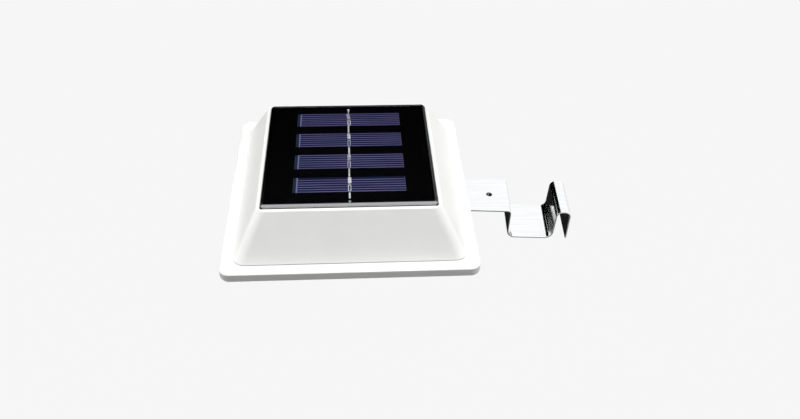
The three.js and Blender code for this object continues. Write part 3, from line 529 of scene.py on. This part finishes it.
def soften(obj, width=0, segments=2, corner=math.radians(32)):
    """Smooth shading with crisp edges, after a small round on every edge sharper than `corner`."""
    if width:
        edge = obj.modifiers.new("edge_round", "BEVEL")
        edge.width = width
        edge.segments = segments
        edge.limit_method = "ANGLE"
        edge.angle_limit = corner
        edge.use_clamp_overlap = True
        bpy.context.view_layer.update()
        bake(obj)
    obj.data.shade_smooth()
    obj.data.set_sharp_from_angle(angle=corner)
    flats = obj.modifiers.new("flats_stay_flat", "WEIGHTED_NORMAL")
    flats.keep_sharp = True
    flats.weight = 80


def stand_for(obj, body, slot, *replaced):
    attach(obj, body)
    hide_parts(*replaced)
    return obj


def arc(centre, radius, start, end, steps):
    """[(a, b), ...] on an arc, angles in degrees."""
    return [
        (
            centre[0] + radius * math.cos(math.radians(start + (end - start) * i / steps)),
            centre[1] + radius * math.sin(math.radians(start + (end - start) * i / steps)),
        )
        for i in range(steps + 1)
    ]


def turned(profile, centre=(0, 0), sides=48):
    """Rings of a turned body from [radius, height] pairs."""
    tiny = 0.02 * MM
    return [circle(max(radius, tiny), z, centre, sides) for radius, z in profile]


def middle(node):
    low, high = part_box(node)
    return ((low.x + high.x) / 2, (low.y + high.y) / 2)


def half_width(node):
    low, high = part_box(node)
    return (high.x - low.x) / 2


# ---------------------------------------------------------------- case
SHELL_LOW, SHELL_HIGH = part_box("top_shell")
BASE_LOW, BASE_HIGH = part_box("base_plate")
BASE_TOP = SHELL_LOW.z - SLACK
BASE_HALF = BASE_HIGH.x
BASE_CORNER = 5 * MM
BASE_EDGE = 0.5 * MM
SHELL_HALF = SHELL_HIGH.x
RIM_HALF = 42.4 * MM
RIM_EDGE = 0.7 * MM
SHELL_CORNER = 6 * MM
SHELL_WALL = 2.6 * MM
PANEL_LOW, PANEL_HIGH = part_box("panel_resin")
PANEL_HALF = PANEL_HIGH.x
SEAT_HALF = PANEL_HALF + SLACK
SEAT_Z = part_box("panel_adhesive")[0].z - CONTACT
CEILING_Z = SEAT_Z - 2 * MM
CASE_SCREWS = [f"housing_screw_{i}" for i in range(1, 5)]


def on_slope(z):
    """The shell's outer half width at height z."""
    rise = (z - SHELL_LOW.z) / (SHELL_HIGH.z - SHELL_LOW.z)
    return SHELL_HALF + (RIM_HALF - SHELL_HALF) * rise


def shell_ring(z, inset=0.0, shrink=0.0):
    half = on_slope(z) - inset
    radius = SHELL_CORNER * on_slope(z) / SHELL_HALF - shrink
    return rounded_rect(half, half, radius, z)


BOSS_RADIUS = 3.5 * MM
BOSS_BELOW_SEAT = 7 * MM
SCREW_BORE = 1.6 * MM
SCREW_BORE_TOP = 10.8 * MM
LEAD_HOLE = 3.5 * MM
LEAD_HOLE_AT = (0, 30 * MM)


def build_shell():
    lean = math.degrees(math.atan2(SHELL_HALF - RIM_HALF, SHELL_HIGH.z - SHELL_LOW.z))
    # the upper edge rounds from the slope to the flat rim, both tangent to the arc
    turn = math.radians(90 - lean)
    back = RIM_EDGE * math.tan(turn / 2)
    arc_middle = (RIM_HALF - back, SHELL_HIGH.z - RIM_EDGE)
    rim = arc(arc_middle, RIM_EDGE, lean, 90, 6)
    corner = SHELL_CORNER * RIM_HALF / SHELL_HALF
    rings = [shell_ring(SHELL_LOW.z, 0.25 * MM, 0.25 * MM), shell_ring(SHELL_LOW.z + 0.25 * MM)]
    steps = 4
    for i in range(1, steps + 1):
        rings.append(shell_ring(SHELL_LOW.z + (rim[0][1] - SHELL_LOW.z) * i / steps))
    rings += [rounded_rect(half, half, corner - (RIM_HALF - half), z) for half, z in rim[1:]]
    seat_corner = 0.8 * MM
    lip = 0.15 * MM
    rings += [
        rounded_rect(SEAT_HALF + lip, SEAT_HALF + lip, seat_corner + lip, SHELL_HIGH.z),
        rounded_rect(SEAT_HALF, SEAT_HALF, seat_corner, SHELL_HIGH.z - lip),
        rounded_rect(SEAT_HALF, SEAT_HALF, seat_corner, SEAT_Z),
    ]
    outside = [rounded_rect(SHELL_HALF * 0.9, SHELL_HALF * 0.9, 4 * MM, SHELL_LOW.z), *rings]
    shell = as_object("case_top", body_of(outside), LOOKS["white_plastic"])
    below = SHELL_LOW.z - 1 * MM
    inside = [
        shell_ring(below, SHELL_WALL, 2 * MM),
        shell_ring(CEILING_Z, SHELL_WALL, 2 * MM),
    ]
    combine(shell, "DIFFERENCE", body_of(inside))
    # screw bosses stand under the roof, cut off by the slope's inside
    boss = [(BOSS_RADIUS, SHELL_LOW.z + 0.1 * MM), (BOSS_RADIUS, SEAT_Z - BOSS_BELOW_SEAT)]
    tool = as_object("bosses", body_of(*(turned(boss, middle(name)) for name in CASE_SCREWS)))
    combine(tool, "INTERSECT", body_of([
        shell_ring(SHELL_LOW.z, 1.3 * MM, 1.3 * MM), shell_ring(CEILING_Z, 1.3 * MM, 1.3 * MM),
    ]))
    merged = bmesh.new()
    merged.from_mesh(tool.data)
    bpy.data.objects.remove(tool)
    combine(shell, "UNION", merged)
    bore = [(SCREW_BORE, 0), (SCREW_BORE, SCREW_BORE_TOP)]
    bores = [turned(bore, middle(name), 24) for name in CASE_SCREWS]
    lead_hole = turned([(LEAD_HOLE, CEILING_Z - 1 * MM), (LEAD_HOLE, SEAT_Z + 1 * MM)], LEAD_HOLE_AT)
    combine(shell, "DIFFERENCE", body_of(*bores, lead_hole))
    soften(shell)
    stand_for(shell, "housing", "white_plastic", "top_shell")


def box_body(low, high, grow=(0, 0, 0), radius=0.3 * MM):
    """Rings of an upright block round a box given by its corners."""
    half_x = (high.x - low.x) / 2 + grow[0]
    half_y = (high.y - low.y) / 2 + grow[1]
    centre = ((low.x + high.x) / 2, (low.y + high.y) / 2)
    return [
        rounded_rect(half_x, half_y, radius, z, centre, 6)
        for z in (low.z - grow[2], high.z + grow[2])
    ]


def well(node_or_middle, radius, top, sides=48):
    """Rings of a round cutter from below the base up to `top`."""
    centre = middle(node_or_middle) if isinstance(node_or_middle, str) else node_or_middle
    return turned([(radius, -3 * MM), (radius, top)], centre, sides)


CLIP_AXIS = middle("clip_insert")


def base_ring(inset, z):
    half = BASE_HALF - inset
    return rounded_rect(half, half, BASE_CORNER - inset, z, steps=12)


def build_base():
    foot = arc((0, 0), BASE_EDGE, 270, 360, 5)
    rings = [base_ring(BASE_EDGE - out, BASE_EDGE + up) for out, up in foot]
    rings += [base_ring(BASE_EDGE - out, BASE_TOP - BASE_EDGE - up) for out, up in reversed(foot)]
    rings.insert(0, base_ring(12 * MM, 0))
    rings.append(base_ring(12 * MM, BASE_TOP))
    base = as_object("case_base", body_of(rings), LOOKS["white_plastic"])

    root = BASE_TOP - 1 * MM
    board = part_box("circuit_board")
    standoffs = [
        turned([(3 * MM, root), (3 * MM, board[0].z)], (
            (board[0].x + board[1].x) / 2 + sx * 33 * MM, (board[0].y + board[1].y) / 2 + sy * 19 * MM,
        ))
        for sx in (-1, 1) for sy in (-1, 1)
    ]
    door_bosses = [turned([(3 * MM, root), (3 * MM, 9 * MM)], middle(f"door_screw_{i}")) for i in (1, 2)]
    insert_boss = turned([(5 * MM, root), (5 * MM, BASE_HIGH.z)], CLIP_AXIS)
    peg_at = (CLIP_AXIS[0] + 14 * MM, CLIP_AXIS[1])
    peg = turned([
        (1.5 * MM, BASE_LOW.z), (1.8 * MM, BASE_LOW.z + 0.3 * MM), (1.8 * MM, 1 * MM),
    ], peg_at)
    combine(base, "UNION", body_of(*standoffs, *door_bosses, insert_boss, peg))

    through = BASE_TOP + 1 * MM
    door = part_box("battery_door")
    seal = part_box("battery_door_seal")
    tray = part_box("battery_tray")
    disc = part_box("clip_friction_disc")
    low_cut = -2 * MM
    door_cut = box_body(
        Vector((door[0].x, door[0].y, low_cut)), Vector((door[1].x, door[1].y, door[1].z + SLACK)),
        (SLACK, SLACK, 0), 3 * MM,
    )
    seal_cut = box_body(
        Vector((seal[0].x, seal[0].y, low_cut)), Vector((seal[1].x, seal[1].y, seal[1].z + SLACK)),
        (SLACK, SLACK, 0),
    )
    wall = 1.5 * MM
    bay_cut = box_body(
        Vector((tray[0].x + wall, tray[0].y + wall, low_cut)),
        Vector((tray[1].x - wall, tray[1].y - wall, through)),
    )
    head = half_width("housing_screw_1") + SLACK
    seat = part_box("housing_screw_1")[0].z + 1.8 * MM + SLACK
    cap_middle = middle("button_cap")
    seal_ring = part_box("button_seal")
    case_screw_wells = [well(name, head, seat) for name in CASE_SCREWS]
    case_screw_wells += [well(name, SCREW_BORE, through, 24) for name in CASE_SCREWS]
    wells = [well(f"door_screw_{i}", 1.5 * MM, 10 * MM, 24) for i in (1, 2)]
    wells += [well(f"{name}_terminal_stud", 4.2 * MM, through) for name in ("live", "earth")]
    wells += [
        well(cap_middle, 5.4 * MM, through),
        turned([(7 * MM, seal_ring[0].z - 0.1 * MM), (7 * MM, through)], cap_middle),
        well("lamp_window", 2.9 * MM, through),
        well(CLIP_AXIS, half_width("clip_friction_disc") + SLACK, disc[1].z + CONTACT, 64),
        well(CLIP_AXIS, 3.2 * MM, 12 * MM),
    ]
    combine(base, "DIFFERENCE", body_of(door_cut))
    combine(base, "DIFFERENCE", body_of(seal_cut))
    combine(base, "DIFFERENCE", body_of(bay_cut, *case_screw_wells))
    combine(base, "DIFFERENCE", body_of(*wells))
    combine(base, "DIFFERENCE", label_groove())
    soften(base)
    stand_for(base, "housing", "white_plastic", "base_plate")


# the framed flat area in the middle of the underside
LABEL_MIDDLE = (-2 * MM, 7 * MM)
LABEL_HALF = (24 * MM, 20 * MM)
LABEL_GROOVE = (0.8 * MM, 0.3 * MM)


def label_groove():
    """A closed ring that cuts the shallow groove round the label area."""
    width, depth = LABEL_GROOVE
    bm = bmesh.new()
    loops = []
    for inset, z in ((0, -1 * MM), (0, depth * 0.4), (0.2 * MM, depth), (width - 0.2 * MM, depth),
                     (width, depth * 0.4), (width, -1 * MM)):
        half_x, half_y = LABEL_HALF[0] - inset, LABEL_HALF[1] - inset
        ring = rounded_rect(half_x, half_y, 1.5 * MM - inset, z, LABEL_MIDDLE, 6)
        loops.append([bm.verts.new(point) for point in ring])
    for low, high in zip(loops, loops[1:] + loops[:1]):
        for i in range(len(low)):
            j = (i + 1) % len(low)
            bm.faces.new((low[i], low[j], high[j], high[i]))
    bmesh.ops.recalc_face_normals(bm, faces=bm.faces)
    return bm


build_shell()
build_base()


# ---------------------------------------------------------------- solar panel
RESIN_EDGE = 1.3 * MM
RESIN_CORNER = 1.5 * MM
RIBBON_LOW, RIBBON_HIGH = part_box("cell_ribbon")


def build_resin():
    """The cast top: a rounded upper edge, and one shallow pocket below for the cells."""
    pocket = PANEL_HALF - 1.6 * MM
    pocket_top = RIBBON_HIGH.z + CONTACT
    rings = [
        rounded_rect(pocket, pocket, 1 * MM, pocket_top),
        rounded_rect(pocket, pocket, 1 * MM, PANEL_LOW.z),
        rounded_rect(PANEL_HALF, PANEL_HALF, RESIN_CORNER, PANEL_LOW.z),
    ]
    slots = [1, 1]
    for out, up in arc((0, 0), RESIN_EDGE, 0, 90, 12):
        half = PANEL_HALF - RESIN_EDGE + out
        z = PANEL_HIGH.z - RESIN_EDGE + up
        rings.append(rounded_rect(half, half, RESIN_CORNER - (RESIN_EDGE - out) * 0.5, z))
        slots.append(2)
    bm = bmesh.new()
    loft(bm, rings, slots)
    resin = as_object("panel_top_coat", bm, LOOKS["clear_resin"], UNDER_RESIN, RESIN_RIM)
    flat = [face for face in resin.data.polygons if face.center.z > PANEL_HIGH.z - 0.001 * MM]
    for face in flat:
        face.material_index = 0
    soften(resin)
    stand_for(resin, "housing", "clear_resin", "panel_resin")


def flat_strip(bm, outline, low, high, crown=0.0):
    """Adds a thin plate over an outline, its upper edge eased and its middle raised by `crown`."""
    count = len(outline)
    mid = Vector((sum(p[0] for p in outline) / count, sum(p[1] for p in outline) / count))
    ease = 0.06 * MM

    def ring(inset, z):
        points = []
        for x, y in outline:
            away = Vector((x, y)) - mid
            scale = max(0.0, 1 - inset / max(away.length, 1e-6))
            points.append((mid.x + away.x * scale, mid.y + away.y * scale, z))
        return points

    rings = [ring(0, low), ring(0, high - ease), ring(ease, high)]
    if crown:
        rings.append(ring(0.45 * MM, high + 0.7 * crown))
        rings.append(ring(0.75 * MM, high + crown))
    loft(bm, rings)


def oblong(x, y, width, length, radius=0.3 * MM, lean=0.0, steps=5):
    points = [(px, py) for px, py, _ in rounded_rect(width / 2, length / 2, radius, 0, (0, 0), steps)]
    return [(x + px + lean * py, y + py) for px, py in points]


def loop_plate(bm, x, y, width, length, wire, low, high):
    """Adds a flat ring, longer than wide: the folded end of a ribbon."""
    outer = oblong(x, y, width, length, width * 0.45, steps=8)
    inner = oblong(x, y, width - 2 * wire, length - 2 * wire, (width - 2 * wire) * 0.45, steps=8)
    ease = 0.05 * MM
    loops = [
        [(px, py, low) for px, py in outer],
        [(px, py, high - ease) for px, py in outer],
        [(px * 0.9 + qx * 0.1, py * 0.9 + qy * 0.1, high) for (px, py), (qx, qy) in zip(outer, inner)],
        [(px * 0.1 + qx * 0.9, py * 0.1 + qy * 0.9, high) for (px, py), (qx, qy) in zip(outer, inner)],
        [(px, py, high - ease) for px, py in inner],
        [(px, py, low) for px, py in inner],
    ]
    verts = [[bm.verts.new(point) for point in loop] for loop in loops]
    made = []
    for first, second in zip(verts, verts[1:] + verts[:1]):
        for i in range(len(first)):
            j = (i + 1) % len(first)
            made.append(bm.faces.new((first[i], first[j], second[j], second[i])))
    bmesh.ops.recalc_face_normals(bm, faces=made)


# each cell's joint, from the front: sideways offset, lean, how much solder stands on it
JOINTS = [(0.15, 0.0, 0.16), (0.0, 0.0, 0.05), (0.05, -0.03, 0.06), (-0.1, -0.12, 0.03)]


def build_ribbon():
    """Tinned ribbon down the middle: a soldered pad and a folded loop on each cell, links between."""
    bm = bmesh.new()
    low = RIBBON_LOW.z
    top = low + 0.08 * MM
    cells = [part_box(f"solar_cell_{i}") for i in range(1, 5)]
    for (offset, lean, solder), (cell_low, cell_high) in zip(JOINTS, cells):
        x = offset * MM
        pad_length = 4.6 * MM
        pad_y = cell_high.y - pad_length / 2 - 0.2 * MM
        flat_strip(bm, oblong(x, pad_y, 1.6 * MM, pad_length, lean=lean), low, top)
        flat_strip(
            bm, oblong(x + 0.05 * MM, pad_y + 0.4 * MM, 1.15 * MM, 3.2 * MM, lean=lean),
            top + 0.005 * MM, top + 0.03 * MM, solder * 0.35 * MM,
        )
        loop_length = 4.9 * MM
        loop_y = cell_low.y + loop_length / 2 + 0.25 * MM
        loop_plate(bm, x - lean * 3 * MM, loop_y, 1.55 * MM, loop_length, 0.42 * MM, low, top)
    for (near, far), bend in zip(zip(cells, cells[1:]), (0.0, 0.1, -0.05)):
        gap = far[0].y - near[1].y
        y = (far[0].y + near[1].y) / 2
        link = oblong(bend * MM, y, 0.78 * MM, gap - 0.3 * MM, 0.38 * MM)
        flat_strip(bm, link, low, top, 0.03 * MM)
    front, back = cells[0][0].y, cells[-1][1].y
    flat_strip(bm, oblong(0.1 * MM, front - 2.7 * MM, 0.85 * MM, 4.4 * MM, 0.4 * MM), low, top, 0.03 * MM)
    for x, y in ((0.1 * MM, RIBBON_LOW.y + 1.1 * MM), (0, RIBBON_HIGH.y - 0.9 * MM)):
        flat_strip(bm, oblong(x, y, 1.1 * MM, 1.7 * MM, 0.5 * MM), low, top, 0.04 * MM)
    flat_strip(bm, oblong(0, back + 1.9 * MM, 0.5 * MM, 3.4 * MM, 0.25 * MM), low, low + 0.05 * MM)
    ribbon = as_object("cell_ribbon_joints", bm, LOOKS["tinned_ribbon"])
    soften(ribbon)
    stand_for(ribbon, "housing", "tinned_ribbon", "cell_ribbon")


build_resin()
build_ribbon()


# ---------------------------------------------------------------- mounting clip
CLIP = {  # mm, along the strip's own direction from the swivel axis, and up
    "turn": math.radians(-4), "width": 25.4, "thickness": 0.8, "top": -0.1, "tail": 11,
    "tail_corner": 4, "near_wall": 42.4, "far_foot": 65.7, "far_top": 66.2, "lip": 73,
    "floor": -17.65, "lip_tip": -17.8, "tab_bend": 1.7, "floor_bend": 4, "hump_bend": 3,
    "hole": 1.6, "hole_at": 32.2, "neck": 2.2, "neck_depth": 2.2, "swivel_hole": 2.3,
    "stop_at": 14, "stop_half": 2.1, "stop_reach": 15,
}


def clip_path():
    """The middle line of the strip: [(along, height, tangent angle), ...]."""
    mid = CLIP["top"] - CLIP["thickness"] / 2
    floor = CLIP["floor"] - CLIP["thickness"] / 2
    corners = [
        (-CLIP["tail"], mid, 0),
        (CLIP["near_wall"], mid, CLIP["tab_bend"]),
        (CLIP["near_wall"], floor, CLIP["floor_bend"]),
        (CLIP["far_foot"], floor, CLIP["floor_bend"]),
        (CLIP["far_top"], mid, CLIP["hump_bend"]),
        (CLIP["lip"], mid, CLIP["hump_bend"]),
        (CLIP["lip"], CLIP["lip_tip"], 0),
    ]
    path = []
    spots = [Vector(corner[:2]) for corner in corners]
    heading = (spots[1] - spots[0]).normalized()
    path.append((spots[0], math.atan2(heading.y, heading.x)))
    for before, at, after, corner in zip(spots, spots[1:], spots[2:], corners[1:]):
        incoming = (at - before).normalized()
        outgoing = (after - at).normalized()
        side = 1 if incoming.x * outgoing.y - incoming.y * outgoing.x > 0 else -1
        swing = incoming.angle(outgoing)
        radius = corner[2]
        start = at - incoming * radius * math.tan(swing / 2)
        centre = start + Vector((-incoming.y, incoming.x)) * side * radius
        base = math.atan2(incoming.y, incoming.x)
        steps = 14
        for i in range(steps + 1):
            angle = base + side * swing * i / steps
            spoke = Vector((math.sin(angle), -math.cos(angle))) * side
            path.append((centre + spoke * radius, angle))
    heading = (spots[-1] - spots[-2]).normalized()
    path.append((spots[-1], math.atan2(heading.y, heading.x)))
    return path


def clip_section():
    """The strip's section, rounded a little more on the upper side: [(across, out), ...]."""
    half, thick, edge = CLIP["width"] / 2, CLIP["thickness"] / 2, 0.16
    corners = ((half, thick, 0), (-half, thick, 90), (-half, -thick, 180), (half, -thick, 270))
    points = []
    for across, out, start in corners:
        centre = (math.copysign(half - edge, across), math.copysign(thick - edge, out))
        points += arc(centre, edge, start, start + 90, 4)
    return points


def build_clip():
    rings = []
    section = clip_section()
    for spot, angle in clip_path():
        normal = Vector((-math.sin(angle), math.cos(angle)))
        ring = []
        for across, out in section:
            point = spot + normal * out
            ring.append((point.x, across, point.y))
        rings.append(ring)
    strip = as_object("spring_clip", body_of(rings), LOOKS["polished_steel"])
    span = CLIP["tail"] + CLIP["lip"] + 2 * CLIP["tail_corner"]
    plan_middle = (span / 2 - CLIP["tail"], 0)
    plan = [
        rounded_rect(span / 2, CLIP["width"] / 2 + 0.05, CLIP["tail_corner"], z, plan_middle, 16)
        for z in (CLIP["lip_tip"] - 3, CLIP["top"] + 1)
    ]
    combine(strip, "INTERSECT", body_of(plan))
    low, high = CLIP["top"] - CLIP["thickness"] - 0.5, CLIP["top"] + 0.5
    neck_end = CLIP["top"] - CLIP["thickness"] - CLIP["neck_depth"]
    neck = [circle(CLIP["neck"], z, (CLIP["hole_at"], 0), 40) for z in (neck_end, CLIP["top"] - 0.4)]
    combine(strip, "UNION", body_of(neck))
    holes = [
        [circle(CLIP["swivel_hole"], z, (0, 0), 40) for z in (low, high)],
        [circle(CLIP["hole"], z, (CLIP["hole_at"], 0), 40) for z in (neck_end - 1, high)],
    ]
    middle_radius, half, reach = CLIP["stop_at"], CLIP["stop_half"], CLIP["stop_reach"]

    def end(side):
        angle = math.radians(side * reach)
        return (middle_radius * math.cos(angle), middle_radius * math.sin(angle))

    outline = arc((0, 0), middle_radius + half, -reach, reach, 12)
    outline += arc(end(1), half, reach, reach + 180, 10)[1:-1]
    outline += arc((0, 0), middle_radius - half, reach, -reach, 12)
    outline += arc(end(-1), half, 180 - reach, 360 - reach, 10)[1:-1]
    holes.append([[(x, y, z) for x, y in outline] for z in (low, high)])
    combine(strip, "DIFFERENCE", body_of(*holes))
    place = Matrix.Translation((CLIP_AXIS[0], CLIP_AXIS[1], 0)) @ Matrix.Rotation(CLIP["turn"], 4, "Z")
    strip.data.transform(place @ Matrix.Scale(MM, 4))
    soften(strip, corner=math.radians(40))
    stand_for(strip, "clip", "polished_steel", "mounting_clip")


build_clip()


# ---------------------------------------------------------------- studio
def area_light(name, at, target, size, radiance):
    """A rectangular light that looks `radiance` bright, and that cameras and mirrors don't see."""
    data = bpy.data.lights.new(name, "AREA")
    data.shape = "RECTANGLE"
    data.size, data.size_y = size
    data.energy = radiance * size[0] * size[1] * math.pi
    light = bpy.data.objects.new(name, data)
    aim = Vector(target) - Vector(at)
    light.rotation_euler = aim.to_track_quat("-Z", "Y").to_euler()
    light.location = at
    light.visible_camera = False
    light.visible_glossy = False
    bpy.context.scene.collection.objects.link(light)


def by_ray(tree, camera, glossy, other):
    """A value that depends on which kind of ray looks: the camera's, a mirror's or any other."""
    path = tree.nodes.new("ShaderNodeLightPath")
    mirror = tree.nodes.new("ShaderNodeMapRange")
    tree.links.new(path.outputs["Is Glossy Ray"], mirror.inputs["Value"])
    mirror.inputs["To Min"].default_value = other
    if isinstance(glossy, bpy.types.NodeSocket):
        tree.links.new(glossy, mirror.inputs["To Max"])
    else:
        mirror.inputs["To Max"].default_value = glossy
    seen = tree.nodes.new("ShaderNodeMapRange")
    tree.links.new(path.outputs["Is Camera Ray"], seen.inputs["Value"])
    tree.links.new(mirror.outputs[0], seen.inputs["To Min"])
    seen.inputs["To Max"].default_value = camera
    return seen.outputs[0]


PAPER = 0.92  # how bright the plain backdrop looks
SKY_MIRRORED = 1.15  # and how bright the sky looks in a mirror
# how bright the floor looks in a mirror: dark on the left, a painted shadow of the object, and bright to
# the right
MIRRORED_FLOOR_IN_PAINTED_SHADE = 0.01
GROUND_MIRRORED_RIGHT = 0.9
FLOOR_Z = -0.7
FLAG_Y = 0.12
FLAG_SPAN = (-0.5, 0.067, -0.05, 0.172)  # left, right, bottom, top
KEY_SIZE = (1.0, 0.95)
FRONT_SIZE = (1.2, 0.7)
SIDE_SIZE = (0.9, 0.7)


def studio_paper():
    look = Look("studio_paper", Roughness=0.9, Specular_IOR_Level=0.0)
    tone = look.spread(look.noise(0.8), 0.0, 0.004)
    look.colour(look.blend(tone, rgb(0, 0, 0), rgb(1, 1, 1)))
    look.shader.inputs["Emission Color"].default_value = rgb(PAPER, PAPER, PAPER)
    x, _, _ = look.axes()
    # painted shadow: in mirrors the floor darkens toward the left, under the object
    mirrored_floor_painted_shade = look.spread(x, MIRRORED_FLOOR_IN_PAINTED_SHADE, GROUND_MIRRORED_RIGHT, 0.1, 0.6)
    strength = by_ray(look.tree, 1.0, mirrored_floor_painted_shade, 0.0)
    look.feed(look.shader.inputs["Emission Strength"], strength)
    return look.material


def upright_card(name, left, right, bottom, top, material):
    bm = bmesh.new()
    corners = [(left, 0, bottom), (right, 0, bottom), (right, 0, top), (left, 0, top)]
    bm.faces.new([bm.verts.new(corner) for corner in corners])
    card = as_object(name, bm, material)
    card.location.y = FLAG_Y
    card.visible_camera = False
    card.visible_diffuse = False
    card.visible_shadow = False


def add_studio():
    scene = bpy.context.scene
    scene.view_settings.view_transform = "Standard"
    world = bpy.data.worlds.new("studio")
    world.use_nodes = True
    background = world.node_tree.nodes["Background"]
    background.inputs["Color"].default_value = rgb(PAPER, PAPER, PAPER)
    strength = by_ray(world.node_tree, 1.0, SKY_MIRRORED, 0.04)
    world.node_tree.links.new(strength, background.inputs["Strength"])
    scene.world = world

    floor_bm = bmesh.new()
    bmesh.ops.create_grid(floor_bm, x_segments=4, y_segments=4, size=6)
    floor = as_object("studio_floor", floor_bm, studio_paper())
    floor.location = (0, 0, FLOOR_Z)
    floor.visible_diffuse = False

    # a black flag behind the object keeps the sky out of the panel's mirror image
    flag = Look("black_flag", Roughness=1.0, Specular_IOR_Level=0.0)
    flag.colour(flag.blend(flag.noise(0.1), rgb(0, 0, 0), rgb(0.001, 0.001, 0.001)))
    upright_card("flag", *FLAG_SPAN, flag.material)

    area_light("key", (0, -0.13, 0.85), (0, -0.05, 0), KEY_SIZE, 2.95)
    area_light("front", (0, -1.3, 0.45), (0, 0, 0), FRONT_SIZE, 1.0)
    for side in (-1, 1):
        area_light("side", (side * 1.1, 0.12, 0.45), (0, 0, 0), SIDE_SIZE, 4.6)


add_studio()


bpy.context.view_layer.update()
